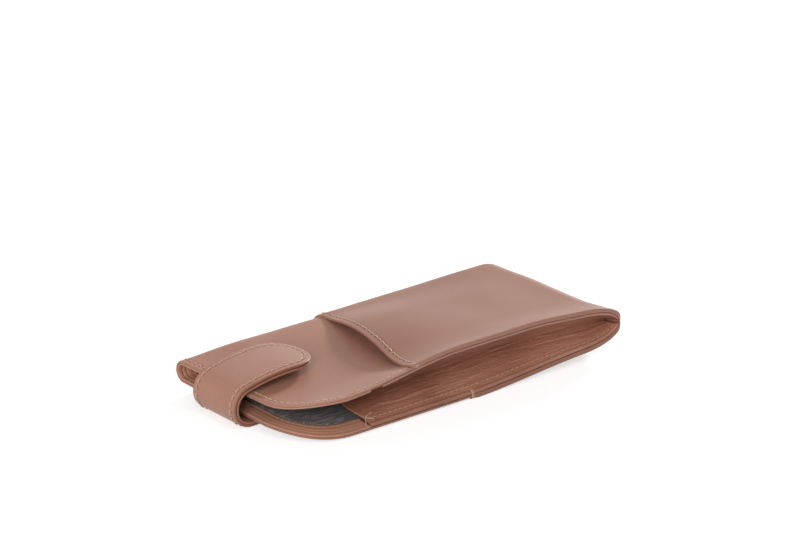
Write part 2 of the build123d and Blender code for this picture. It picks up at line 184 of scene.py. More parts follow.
@dataclass
class CaseForm:
    """Laws that give the soft form of the case at any place, under a depth of layers."""

    mouth_x: float
    near_y: float
    length: float = 165.0
    width: float = 82.4
    fold_room: float = 9.0
    nose_round: float = 10.0
    near_nose: float = 20.0
    mouth_corner: float = 25.0
    end_corner: float = 3.0
    mouth_spread: float = 1.3
    mouth_near_top: float = 19.0
    near_top: float = 25.2
    end_near_top: float = 22.6
    mouth_mid_top: float = 14.9
    mid_top: float = 19.7
    end_mid_top: float = 18.1
    mouth_fold_top: float = 14.5
    fold_top: float = 17.0
    near_reach: float = 22.0
    near_lead: float = 12.0
    near_curl: float = 0.85
    pocket_arch: float = 4.6
    arch_y: float = -1.0
    arch_span: float = 33.5
    mouth_near_low: float = -0.3
    end_near_low: float = 4.2
    mouth_mid_low: float = 2.3
    mouth_fold_low: float = 3.2
    end_low: float = 0.8
    rest_dip: float = 0.3
    mouth_growth: float = 30.0
    near_rise: float = 20.0
    near_growth: float = 80.0
    dip_start: float = 20.0
    dip_end: float = 110.0
    low_growth: float = 55.0
    strap_growth: float = 75.0
    end_taper: float = 40.0
    end_lift: float = 75.0
    pocket_fade: float = 55.0
    pocket_near_front: float = 54.5
    pocket_fold: float = 68.5
    pocket_near_back: float = 84.5
    gusset_start: float = 34.0
    middle_y: float = 5.7
    run_out: float = 3.0
    flat_panel: float = 60.0
    leather: float = 0.9
    glue: float = 0.1
    board: float = 0.8
    cloth: float = 0.4
    facing: float = 0.8

    @property
    def nose_start(self) -> float:
        """Place where the rounded closed end starts."""
        return self.length - self.nose_round

    @property
    def panel_run(self) -> float:
        """Run of a panel from the near edge to the fold."""
        return self.width - self.fold_room

    @property
    def body_depth(self) -> float:
        """Depth of the body leather under the pocket leather's face."""
        return self.leather + self.glue

    @property
    def layer_depth(self) -> float:
        """Depth of what is glued inside the body leather."""
        return 2 * (self.leather + self.glue)

    def corner(self, along: np.ndarray, inward: np.ndarray) -> tuple[np.ndarray, np.ndarray]:
        """Bends a square grid so that its lines follow the rounded corner at the mouth.

        Args:
            along: distances from the mouth.
            inward: distances from the near edge.

        Returns:
            The same distances for the bent grid.
        """
        radius = self.mouth_corner
        a, b = ((radius - place) / radius for place in (along, inward))
        inside, bent_along, bent_inward = bend_corner(a, b, radius)
        return np.where(inside, bent_along, along), np.where(inside, bent_inward, inward)

    def end_cut(self, place: np.ndarray) -> np.ndarray:
        """How far the rounded corner at the closed end cuts in from the near edge.

        Args:
            place: distances from the mouth.

        Returns:
            The cut at each place.
        """
        reach = np.clip(place - (self.length - self.end_corner), 0.0, self.end_corner)
        return self.end_corner - np.sqrt(self.end_corner**2 - reach**2)

    def spread(self, s: np.ndarray) -> np.ndarray:
        """How far the mouth's opening pushes the fold out.

        Args:
            s: distances from the mouth.

        Returns:
            The push at each place.
        """
        return self.mouth_spread * (1 - ease(s, 0, self.mouth_growth))

    def heights(self, s: np.ndarray) -> tuple[list[np.ndarray], list[np.ndarray]]:
        """Heights of front and back at the near edge, in the middle and at the fold.

        Args:
            s: distances from the mouth.

        Returns:
            The three front heights and the three back heights.
        """
        s = np.minimum(s, self.nose_start)
        mouth = 1 - ease(s, 0, self.mouth_growth)
        near = 1 - ease(s, self.near_rise, self.near_growth)
        dip = ease(s, self.dip_start, self.dip_end)
        end = ease(s, self.nose_start - self.end_taper, self.nose_start)
        low = 1 - ease(s, 0, self.low_growth)
        rest = self.rest_dip
        tops = [
            self.near_top - (self.near_top - self.mouth_near_top) * near
            - (self.near_top - self.end_near_top) * end,
            self.mouth_mid_top + (self.mid_top - self.mouth_mid_top) * dip
            - (self.mid_top - self.end_mid_top) * end,
            self.fold_top - (self.fold_top - self.mouth_fold_top) * mouth,
        ]
        lows = [
            -rest + (self.mouth_near_low + rest) * low
            + (self.end_near_low + rest) * ease(s, self.nose_start - self.end_lift, self.nose_start),
            -rest + (self.mouth_mid_low + rest) * (1 - ease(s, 0, self.strap_growth))
            + (self.end_low + rest) * end,
            -rest + (self.mouth_fold_low + rest) * low + (self.end_low + rest) * end,
        ]
        return tops, lows

    def point(self, u: np.ndarray, q: np.ndarray, depth: np.ndarray, arch: float = 0.0) -> np.ndarray:
        """Points on a layer's face.

        Args:
            u: distance from the mouth along the face, round the closed end as well.
            q: across: 0 to 1 over the front from the near edge to the fold, to 2 round the fold, to 3
                over the back. A distance from the near edge is turned to this by across().
            depth: depth under the pocket leather's face.
            arch: how far the pocket stands off the front.

        Returns:
            Points in metres, with the coordinates last.
        """
        u, q, depth = np.broadcast_arrays(u, q, depth)
        nose = np.clip((u - self.nose_start) / self.nose_round, 0.0, QUARTER)
        s = np.minimum(u, self.nose_start) + (self.nose_round - depth) * np.sin(nose)
        shrink = np.cos(nose)
        tops, lows = self.heights(s)
        middle = [(top + low) / 2 for top, low in zip(tops, lows)]
        ending = np.clip((s - (self.length - self.near_nose)) / (self.near_nose - depth), 0.0, 1.0)
        shrinks = [np.sqrt(1 - ending**2), shrink, shrink]
        half = [((top - low) / 2 - depth) * k for top, low, k in zip(tops, lows, shrinks)]
        radius = half[2]
        nose_left = (self.nose_round - depth) * shrink
        fold_y = self.near_y + self.width - self.nose_round + nose_left + self.spread(s) - radius
        near = self.near_y + self.end_cut(s)
        front, back = q <= 1, q >= 2
        share = np.where(front, q, np.where(back, 3 - q, 1.0))
        y = near + (fold_y - near) * share
        lead, reach = self.near_y - self.near_lead, self.near_y + self.near_reach
        at_edge = ease(np.array(self.near_y), lead, reach)
        curl = (ease(y, lead, reach) - at_edge) / (1 - at_edge)
        even = ease(y, self.near_y - self.run_out, self.middle_y)
        to_middle = self.near_curl * curl + (1 - self.near_curl) * even
        to_fold = ease(y, self.middle_y, fold_y)
        levels = []
        for sign in (1, -1):
            near_z, mid_z, fold_z = (m + sign * h for m, h in zip(middle, half))
            inner, outer = near_z + (mid_z - near_z) * to_middle, mid_z + (fold_z - mid_z) * to_fold
            levels.append(np.where(y < self.middle_y, inner, outer))
        span = np.clip(1 - ((y - self.arch_y) / self.arch_span) ** 2, 0.0, 1.0)
        faded = 1 - ease(s, self.pocket_fold, self.pocket_fold + self.pocket_fade)
        top = levels[0] + arch * faded * shrink * span**1.5
        angle = math.pi * (np.clip(q, 1, 2) - 1)
        z = np.where(front, top, np.where(back, levels[1], middle[2] + radius * np.cos(angle)))
        y = np.where(front | back, y, fold_y + radius * np.sin(angle))
        return np.stack([self.mouth_x + s, y, z], axis=-1) * MM

    def across(self, u: np.ndarray, inward: np.ndarray, side: float) -> np.ndarray:
        """Turns distances from the near edge to the across coordinate of point().

        Args:
            u: distance from the mouth along the face.
            inward: distance from the near edge.
            side: 1 on the front, -1 on the back.

        Returns:
            The across coordinate.
        """
        s = np.minimum(u, self.length)
        tops, lows = self.heights(s)
        share = inward / (self.width + self.spread(s) - (tops[2] - lows[2]) / 2)
        return share if side > 0 else 3 - share

    def hem(self, q: np.ndarray) -> np.ndarray:
        """Place of the pocket's hem.

        Args:
            q: across coordinates.

        Returns:
            Distance from the mouth at each.
        """
        share = np.clip(np.where(q <= 1, q, np.where(q >= 2, 3 - q, 1.0)), 0, 1)
        near = np.where(q < 1.5, self.pocket_near_front, self.pocket_near_back)
        return near + (self.pocket_fold - near) * share


def rounding(rim: np.ndarray, radius: float) -> np.ndarray:
    """How far a rim's rounding lowers a face.

    Args:
        rim: distances from the rim.
        radius: radius of the rounding.

    Returns:
        The lowering at each distance.
    """
    return radius - np.sqrt(radius**2 - np.clip(radius - rim, 0, radius) ** 2)


def rim_lines(inset: float, reach: float, radius: float, seam_half: float = 0.9) -> np.ndarray:
    """Distances from a rim at which a sheet has grid lines: close at the rounding and at the seam.

    Args:
        inset: distance of the seam from the rim.
        reach: distance where even spacing takes over.
        radius: radius of the rim's rounding.
        seam_half: how far the close lines reach on each side of the seam.

    Returns:
        The distances, growing.
    """
    rounded = radius * (1 - np.cos(np.linspace(0, QUARTER, 7)))
    seam = inset + np.linspace(-seam_half, seam_half, 7)
    outside = seam[-1] + (reach - seam[-1]) * np.linspace(0, 1, 5)[1:]
    return np.concatenate([rounded, [(radius + seam[0]) / 2], seam, outside])


@dataclass
class Skin:
    """A sheet of leather or cloth over the form, with rounded rims, made as one closed mesh.

    A hem or an edge may be turned in, which thickens it, and the back's hem may be skived thin. A run
    is how far a change reaches, and a part is the stretch that it grows over.
    """

    form: CaseForm
    name: str
    depth: float
    thickness: float
    rounding: float
    under_rounding: float = 0.12
    seam_inset: float = 2.7
    seam_depth: float = 0.3
    seam_width: float = 0.6
    first: float = 0.0
    arch: float = 0.0
    pocket: bool = False
    hem_turn: float = 0.0
    hem_fold: tuple[float, float] = (5.2, 6.0)
    edge_turn: float = 0.0
    edge_fold: tuple[float, float] = (1.2, 2.6)
    edge_reach: float = 0.0
    edge_reach_run: float = 2.5
    hem_rounding: float | None = None
    skive: float = 0.0
    skive_run: float = 5.0
    skive_part: tuple[float, float] = (1.6, 2.4)
    dent: float = 0.0
    dent_place: float = 2.0
    dent_run: float = 9.0
    wave: float = 0.07
    wave_runs: tuple[float, float] = (9.0, 23.0)
    wave_turns: tuple[float, float] = (2.1, 7.0)
    wave_growth: tuple[float, float] = (2.0, 12.0)
    worn_width: float = 0.45
    even_from: float = 7.0
    pitch_along: float = 1.5
    pitch_across: float = 1.5

    def spaced(self, run: float, pitch: float) -> np.ndarray:
        """Grid lines from a rim: close at first, then even.

        Args:
            run: where the last line is.
            pitch: even spacing.

        Returns:
            Distances from the rim.
        """
        lines = rim_lines(self.seam_inset, self.even_from, self.rounding)
        count = int((run - lines[-1]) / pitch)
        return np.concatenate([lines, lines[-1] + (run - lines[-1]) * np.linspace(0, 1, count)[1:]])

    def rows(self) -> np.ndarray:
        """Places along the case that the grid's rows run through.

        Returns:
            Distances from the sheet's own first rim.
        """
        run = self.form.nose_start - (self.form.pocket_near_front if self.pocket else self.first)
        nose = run + self.form.nose_round * np.radians(np.linspace(0, 90, 16)[1:])
        return np.concatenate([self.spaced(run, self.pitch_along), nose])

    def columns(self) -> tuple[np.ndarray, np.ndarray]:
        """Lines across the case that the grid's columns run through.

        Returns:
            For each column its distance from the near edge, or for the fold its share, and a code:
            1 front, 0 fold, -1 back.
        """
        panel = self.spaced(self.form.panel_run - self.first, self.pitch_across) + self.first
        fold = np.linspace(0, 1, 19)[1:-1]
        codes = np.concatenate([np.ones(len(panel)), np.zeros(len(fold)), -np.ones(len(panel))])
        return np.concatenate([panel, fold, panel[::-1]]), codes

    def grid(self) -> dict[str, np.ndarray]:
        """Lays the grid out on the form.

        Returns:
            The developed coordinates u and q of each point, and its distances from the nearest rim,
            from the mouth or hem and from the near edge.
        """
        form = self.form
        rows = self.rows()[:, None]
        values, codes = self.columns()
        run = form.panel_run
        inward = np.where(codes == 0, run, values)[None, :]
        code = codes[None, :] * np.ones_like(rows)
        rows = rows * np.ones_like(inward)
        inward = inward * np.ones_like(rows)
        along, bent = rows + self.first, inward
        if not self.pocket:
            u, bent = form.corner(along, inward)
        share = np.where(code == 0, 1 + values[None, :], bent / run)
        q = np.where(code < 0, 3 - share, share)
        near = np.where(code == 0, run, inward)
        if not self.pocket:
            rim = np.minimum(along, near) - self.first
            return {"u": np.where(code == 0, along, u), "q": q, "rim": rim, "mouth": along, "near": near}
        hem, start, even = form.hem(q), form.pocket_near_front, self.even_from
        later = np.clip((rows - even) / (form.nose_start - start - even), 0, 1)
        u = hem + np.where(rows <= even, rows, even + (form.nose_start - hem - even) * later)
        u = np.where(rows > form.nose_start - start, rows + start, u)
        proud = self.edge_reach * (1 - ease(near, 0.0, self.edge_reach_run)) / run
        return {"u": u, "q": q - code * proud, "rim": np.minimum(rows, near), "mouth": rows, "near": near}

    def relief(self, grid: dict[str, np.ndarray]) -> np.ndarray:
        """Depth of the seam's groove and of the soft unevenness of the sheet.

        Args:
            grid: the laid out grid.

        Returns:
            How far the outer face lies below the form.
        """
        u, q, rim = grid["u"], grid["q"], grid["rim"]
        seam = grid["mouth"] if self.pocket else rim
        kept = ease(grid["near"], 3.0, 5.0) if self.pocket else 1.0
        groove = self.seam_depth * hollow(seam, self.seam_inset, self.seam_width) * kept
        one, other = (np.sin(u / run + turns * q) for run, turns in zip(self.wave_runs, self.wave_turns))
        wave = self.wave * one * other * ease(rim, *self.wave_growth)
        thin = self.skive * (1 - ease(grid["mouth"], 0.0, self.skive_run)) * ease(q, *self.skive_part)
        under_pocket = hollow(u, self.form.hem(q) + self.dent_place, self.dent_run) * hollow(q, 0.5, 0.3)
        return groove + wave + thin + self.dent * under_pocket

    def build(self) -> bpy.types.Object:
        """Builds the closed mesh.

        Returns:
            The sheet as an object.
        """
        grid = self.grid()
        u, q, rim, mouth, near = (grid[key] for key in ("u", "q", "rim", "mouth", "near"))
        turned = self.edge_turn * (1 - ease(near, *self.edge_fold)) * ease(mouth, 0.0, 3.0)
        thick = self.thickness + self.hem_turn * (1 - ease(mouth, *self.hem_fold)) + turned
        lowering = rounding(rim, self.rounding)
        if self.hem_rounding is not None:
            lowering = np.maximum(rounding(near, self.rounding), rounding(mouth, self.hem_rounding))
        outer = self.form.point(u, q, self.depth + self.relief(grid) + lowering, self.arch)
        outer[..., 2] = np.maximum(outer[..., 2], 0.0)
        inner = self.form.point(u, q, self.depth + thick - rounding(rim, self.under_rounding), self.arch)
        edge = hollow(rim, 0.0, self.worn_width) * (1 - ease(q, 1.6, 2.2))
        flat = np.stack([u, q * self.form.flat_panel], axis=-1) * MM
        return sheet_mesh(self.name, outer, inner, edge, flat, welded_end=True)

    def cut(self) -> tuple[tuple[float, float], float]:
        """Works out the flat piece that the sheet was cut as.

        Returns:
            Its width across and length along, and its area, in metres.
        """
        grid = self.grid()
        middle = np.full_like(grid["u"], self.depth + self.thickness / 2)
        face = self.form.point(grid["u"], grid["q"], middle)
        width, length = (
            np.linalg.norm(np.diff(face, axis=axis), axis=-1).sum(axis=axis).max() for axis in (1, 0)
        )
        diagonals = np.cross(face[1:, 1:] - face[:-1, :-1], face[1:, :-1] - face[:-1, 1:])
        return (float(width), float(length)), float(np.linalg.norm(diagonals, axis=-1).sum() / 2)


def sheet_mesh(
    name: str,
    outer: np.ndarray,
    inner: np.ndarray,
    edge: np.ndarray,
    flat: np.ndarray,
    welded_end: bool = False,
) -> bpy.types.Object:
    """Joins an outer and an inner face to one closed sheet.

    Args:
        name: name of the piece.
        outer: points of the outer face, rows by columns.
        inner: points of the inner face, laid out alike.
        edge: 1 at the cut rims, fading to 0.
        flat: developed coordinates in metres.
        welded_end: True where the last row closes on itself.

    Returns:
        The sheet as an object.
    """
    rows, columns = outer.shape[:2]
    top = np.arange(rows * columns).reshape(rows, columns)
    low = top + rows * columns
    loops = [
        (top[:-1, :-1], top[1:, :-1], top[1:, 1:], top[:-1, 1:]),
        (low[:-1, :-1], low[:-1, 1:], low[1:, 1:], low[1:, :-1]),
        (top[:-1, 0], low[:-1, 0], low[1:, 0], top[1:, 0]),
        (top[:-1, -1], top[1:, -1], low[1:, -1], low[:-1, -1]),
        (top[0, :-1], top[0, 1:], low[0, 1:], low[0, :-1]),
    ]
    if not welded_end:
        loops.append((top[-1, :-1], low[-1, :-1], low[-1, 1:], top[-1, 1:]))
    faces = np.concatenate([np.stack(loop, axis=-1).reshape(-1, 4) for loop in loops])
    points = np.concatenate([outer.reshape(-1, 3), inner.reshape(-1, 3)])
    if welded_end:
        swap = np.arange(len(points))
        for last in (top[-1], low[-1]):
            swap[last[::-1][: columns // 2]] = last[: columns // 2]
        faces = swap[faces]
    flats = flat.reshape(-1, 2)
    values = {"edge": np.tile(edge.ravel(), 2)}
    return mesh_object(name, points, faces, values, np.concatenate([flats, flats]))


def mesh_object(
    name: str,
    points: np.ndarray,
    faces: Sequence[Sequence[int]],
    values: dict[str, np.ndarray] | None = None,
    flats: np.ndarray | None = None,
) -> bpy.types.Object:
    """Makes a smooth mesh object at the origin.

    Args:
        name: name of the piece.
        points: vertices in metres.
        faces: vertex numbers of each face.
        values: named values of the vertices.
        flats: developed coordinates of the vertices, kept as a UV map.

    Returns:
        The object, linked to the scene.
    """
    used = np.zeros(len(points), bool)
    cleaned = []
    for face in np.asarray(faces).tolist():
        kept = [v for i, v in enumerate(face) if v != face[i - 1]]
        if len(set(kept)) >= 3:
            cleaned.append(kept)
            used[kept] = True
    renumber = np.cumsum(used) - 1
    mesh = bpy.data.meshes.new(name)
    mesh.from_pydata(points[used].tolist(), [], [[int(renumber[v]) for v in face] for face in cleaned])
    for key, value in (values or {}).items():
        mesh.attributes.new(key, "FLOAT", "POINT").data.foreach_set("value", value[used].astype(np.float32))
    if flats is not None:
        corners = np.zeros(len(mesh.loops), np.int64)
        mesh.loops.foreach_get("vertex_index", corners)
        layer = mesh.uv_layers.new(name="flat")
        layer.data.foreach_set("uv", flats[used][corners].astype(np.float32).ravel())
    mesh.polygons.foreach_set("use_smooth", np.ones(len(mesh.polygons), bool))
    mesh.update()
    made = bpy.data.objects.new(name, mesh)
    bpy.context.scene.collection.objects.link(made)
    return made


def sharpen_row(piece: bpy.types.Object, rows: int, columns: int, row: int) -> None:
    """Keeps the shading of a closed sheet apart from the cut across one of its rows.

    Args:
        piece: sheet made by sheet_mesh() with none of its points dropped.
        rows: rows of its grid.
        columns: columns of its grid.
        row: the row to keep sharp.
    """
    mesh = piece.data
    ring = np.zeros((2, rows, columns), bool)
    ring[:, row] = True
    ends = np.zeros(2 * len(mesh.edges), np.int64)
    mesh.edges.foreach_get("vertices", ends)
    mesh.edges.foreach_set("use_edge_sharp", ring.ravel()[ends.reshape(-1, 2)].all(axis=1))


# Finishes


@dataclass(frozen=True)
class Finish:
    """A finish made of shader nodes."""

    name: str

    def build(self) -> bpy.types.Material:
        """Builds the material.

        Returns:
            The material.
        """
        material = bpy.data.materials.new(self.name)
        material.use_nodes = True
        tree = material.node_tree
        tree.nodes.clear()
        add_node(tree, "ShaderNodeOutputMaterial", {"Surface": self.shade(tree)})
        return material

    def shade(self, tree: bpy.types.NodeTree) -> bpy.types.Node:
        """Adds the finish's own nodes to a tree.

        Args:
            tree: the material's tree.

        Returns:
            The shader.
        """
        raise NotImplementedError


@dataclass(frozen=True)
class Leather(Finish):
    """Smooth vegetable-tanned calf leather, dyed through and plated.

    It gives the eye a soft, even sheen over a fine grain, slow changes of tone where it was
    handled, and a warmer cut edge.
    """

    colour: str
    dark: str
    edge_colour: str
    roughness: float = 0.46
    patch: float = 38.0
    grain: float = 0.45
    grain_height: float = 0.010
    speck: float = 1.6
    crease: float = 1.7
    crease_height: float = 0.0
    crease_least: float = 0.012
    sheen: float = 0.12
    sheen_tint: str = "E8D5D0"

    def shade(self, tree: bpy.types.NodeTree) -> bpy.types.Node:
        """Adds the leather's nodes.

        Args:
            tree: the material's tree.

        Returns:
            The shader.
        """
        place = add_node(tree, "ShaderNodeTexCoord").outputs["Object"]
        tone = add_node(
            tree,
            "ShaderNodeTexNoise",
            {"Vector": place, "Scale": 1 / (self.patch * MM), "Detail": 4.0, "Roughness": 0.55},
        )
        tones = add_node(tree, "ShaderNodeValToRGB", {"Fac": tone})
        stops = zip(tones.color_ramp.elements, (0.30, 0.66), (self.dark, self.colour))
        for element, position, colour in stops:
            element.position = position
            element.color = linear(colour)
        pores = add_node(
            tree, "ShaderNodeTexVoronoi", {"Vector": place, "Scale": 1 / (self.grain * MM), "Randomness": 0.9}
        )
        specks = add_node(
            tree,
            "ShaderNodeTexNoise",
            {"Vector": place, "Scale": 1 / (self.speck * MM), "Detail": 5.0, "Roughness": 0.6},
        )
        rubbed = add_node(tree, "ShaderNodeAttribute", None, {"attribute_name": "edge"})
        edges = add_node(
            tree,
            "ShaderNodeMix",
            {"Factor": rubbed.outputs["Fac"], 6: tones, 7: linear(self.edge_colour)},
            MIX_COLOURS,
        )
        fine, rough = (
            add_node(
                tree,
                "ShaderNodeMapRange",
                {"Value": specks, "From Min": 0.3, "From Max": 0.7, "To Min": low, "To Max": high},
            )
            for low, high in ((0.93, 1.05), (self.roughness - 0.05, self.roughness + 0.07))
        )
        coloured = add_node(tree, "ShaderNodeHueSaturation", {"Color": edges.outputs[2], "Value": fine})
        grain = add_node(
            tree, "ShaderNodeBump", {"Strength": 0.7, "Distance": self.grain_height * MM, "Height": pores}
        )
        drawn = add_node(tree, "ShaderNodeMapping", {"Vector": place, "Scale": (0.3, 1.0, 1.0)})
        creases = add_node(
            tree,
            "ShaderNodeTexNoise",
            {
                "Vector": drawn,
                "Scale": 1 / (self.crease * MM),
                "Detail": 4.0,
                "Roughness": 0.62,
                "Distortion": 0.9,
            },
        )
        deep = (self.crease_height + self.crease_least) * MM
        folded = add_node(
            tree, "ShaderNodeBump", {"Strength": 0.8, "Distance": deep, "Height": creases, "Normal": grain}
        )
        return add_node(
            tree,
            "ShaderNodeBsdfPrincipled",
            {
                "Base Color": coloured,
                "Roughness": rough,
                "IOR": 1.47,
                "Sheen Weight": self.sheen,
                "Sheen Roughness": 0.45,
                "Sheen Tint": linear(self.sheen_tint),
                "Normal": folded,
            },
        )


@dataclass(frozen=True)
class Thread(Finish):
    """Bonded polyester sewing thread, twisted from plies.

    It gives the eye short pale ridges with a slant twist and a soft lustre.
    """

    name: str = "bonded_thread"
    colour: str = "DCBCA6"
    dark: str = "B48E78"
    twist: float = 0.55
    ridge: float = 0.05
    roughness: float = 0.5

    def shade(self, tree: bpy.types.NodeTree) -> bpy.types.Node:
        """Adds the thread's nodes.

        Args:
            tree: the material's tree.

        Returns:
            The shader.
        """
        place = add_node(tree, "ShaderNodeTexCoord").outputs["Object"]
        slanted = add_node(tree, "ShaderNodeMapping", {"Vector": place, "Rotation": (0.3, 0.2, 0.7)})
        plies = add_node(
            tree,
            "ShaderNodeTexWave",
            {"Vector": slanted, "Scale": WAVE_PERIOD / (self.twist * MM), "Distortion": 0.4},
            {"wave_type": "BANDS", "bands_direction": "X"},
        ).outputs["Fac"]
        tones = {"Factor": plies, 6: linear(self.dark), 7: linear(self.colour)}
        shades = add_node(tree, "ShaderNodeMix", tones, MIX_COLOURS)
        ridges = add_node(
            tree, "ShaderNodeBump", {"Strength": 0.6, "Distance": self.ridge * MM, "Height": plies}
        )
        return add_node(
            tree,
            "ShaderNodeBsdfPrincipled",
            {
                "Base Color": shades.outputs[2],
                "Roughness": self.roughness,
                "Sheen Weight": 0.2,
                "Normal": ridges,
            },
        )


@dataclass(frozen=True)
class Tweed(Finish):
    """Woven lining of dark and light yarns.

    It gives the eye a broken check of near-black with pale grey flecks, dull all over. The yarns
    are 0.7 mm apart, drawn at 0.9 mm so that the weave shows.
    """

    name: str = "tweed_lining"
    dark: str = "544A4D"
    light: str = "C2C8C0"
    yarn: float = 0.9
    fleck: float = 1.0
    relief: float = 0.12
    roughness: float = 0.9

    def shade(self, tree: bpy.types.NodeTree) -> bpy.types.Node:
        """Adds the cloth's nodes.

        Args:
            tree: the material's tree.

        Returns:
            The shader.
        """
        place = add_node(tree, "ShaderNodeTexCoord").outputs["Object"]
        warp, weft = (
            add_node(
                tree,
                "ShaderNodeTexWave",
                {"Vector": place, "Scale": WAVE_PERIOD / (self.yarn * MM), "Distortion": 1.2, "Detail": 1.0},
                {"wave_type": "BANDS", "bands_direction": direction},
            ).outputs["Fac"]
            for direction in "XY"
        )
        weave = add_node(tree, "ShaderNodeMath", {0: warp, 1: weft}, MULTIPLY)
        drawn = add_node(tree, "ShaderNodeMapping", {"Vector": place, "Scale": (0.2, 1.0, 1.0)})
        flecks = add_node(
            tree, "ShaderNodeTexNoise", {"Vector": drawn, "Scale": 1 / (self.fleck * MM), "Detail": 2.0}
        )
        shown = add_node(
            tree,
            "ShaderNodeMapRange",
            {"Value": flecks, "From Min": 0.47, "From Max": 0.57, "To Min": 0.05, "To Max": 1.0},
        )
        mixed = add_node(tree, "ShaderNodeMath", {0: shown, 1: weave}, MULTIPLY)
        colour = add_node(
            tree, "ShaderNodeMix", {"Factor": mixed, 6: linear(self.dark), 7: linear(self.light)}, MIX_COLOURS
        )
        bump = add_node(
            tree, "ShaderNodeBump", {"Strength": 0.8, "Distance": self.relief * MM, "Height": weave}
        )
        return add_node(
            tree,
            "ShaderNodeBsdfPrincipled",
            {
                "Base Color": colour.outputs[2],
                "Roughness": self.roughness,
                "Sheen Weight": 0.15,
                "Normal": bump,
            },
        )


@dataclass(frozen=True)
class Board(Finish):
    """Grey-brown fibreboard, pressed from leather fibres.

    It gives the eye a dull, speckled sheet.
    """

    name: str = "fibre_board"
    colour: str = "9C8468"
    dark: str = "7C6750"
    fibre: float = 0.8
    relief: float = 0.04
    roughness: float = 0.85

    def shade(self, tree: bpy.types.NodeTree) -> bpy.types.Node:
        """Adds the board's nodes.

        Args:
            tree: the material's tree.

        Returns:
            The shader.
        """
        place = add_node(tree, "ShaderNodeTexCoord").outputs["Object"]
        fibres = add_node(
            tree, "ShaderNodeTexNoise", {"Vector": place, "Scale": 1 / (self.fibre * MM), "Detail": 6.0}
        )
        tones = {"Factor": fibres, 6: linear(self.dark), 7: linear(self.colour)}
        colour = add_node(tree, "ShaderNodeMix", tones, MIX_COLOURS)
        bump = add_node(
            tree, "ShaderNodeBump", {"Strength": 0.5, "Distance": self.relief * MM, "Height": fibres}
        )
        return add_node(
            tree,
            "ShaderNodeBsdfPrincipled",
            {"Base Color": colour.outputs[2], "Roughness": self.roughness, "Normal": bump},
        )


@dataclass(frozen=True)
class Brass(Finish):
    """Turned and plated brass of the press stud.

    It gives the eye a warm metal with fine rings from the turning.
    """

    name: str = "turned_brass"
    colour: str = "C9A35E"
    ring: float = 0.35
    relief: float = 0.02
    smudge: float = 2.5

    def shade(self, tree: bpy.types.NodeTree) -> bpy.types.Node:
        """Adds the metal's nodes.

        Args:
            tree: the material's tree.

        Returns:
            The shader.
        """
        place = add_node(tree, "ShaderNodeTexCoord").outputs["Object"]
        smudges = add_node(
            tree, "ShaderNodeTexNoise", {"Vector": place, "Scale": 1 / (self.smudge * MM), "Detail": 4.0}
        )
        rough = add_node(tree, "ShaderNodeMapRange", {"Value": smudges, "To Min": 0.18, "To Max": 0.42})
        drawn = add_node(tree, "ShaderNodeMapping", {"Vector": place, "Scale": (0.1, 0.1, 1.0)})
        turned = add_node(tree, "ShaderNodeTexNoise", {"Vector": drawn, "Scale": 1 / (self.ring * MM)})
        bump = add_node(
            tree, "ShaderNodeBump", {"Strength": 0.3, "Distance": self.relief * MM, "Height": turned}
        )
        return add_node(
            tree,
            "ShaderNodeBsdfPrincipled",
            {"Base Color": linear(self.colour), "Metallic": 1.0, "Roughness": rough, "Normal": bump},
        )


@dataclass(frozen=True)
class Paper(Finish):
    """Matt white paper of the studio's floor.

    It gives the eye pure white with a soft shadow: it glows a little for the camera and in mirrors.
    """

    name: str = "white_paper"
    colour: str = "D2D2D2"
    glow: float = 0.63

    def shade(self, tree: bpy.types.NodeTree) -> bpy.types.Node:
        """Adds the paper's nodes.

        Args:
            tree: the material's tree.

        Returns:
            The shader.
        """
        seen = add_node(tree, "ShaderNodeLightPath").outputs
        paper = add_node(tree, "ShaderNodeBsdfDiffuse", {"Color": linear(self.colour)})
        glow = add_node(tree, "ShaderNodeEmission", {"Color": linear(WHITE), "Strength": self.glow})
        lit = add_node(tree, "ShaderNodeAddShader", {0: paper, 1: glow})
        direct = add_node(
            tree, "ShaderNodeMath", {0: seen["Is Camera Ray"], 1: seen["Is Glossy Ray"]}, EITHER
        )
        return add_node(tree, "ShaderNodeMixShader", {0: direct, 1: paper, 2: lit})


# Threads


@dataclass
class StitchRow:
    """A line that stitches follow, with the way out of the leather at each point."""

    points: np.ndarray
    ups: np.ndarray


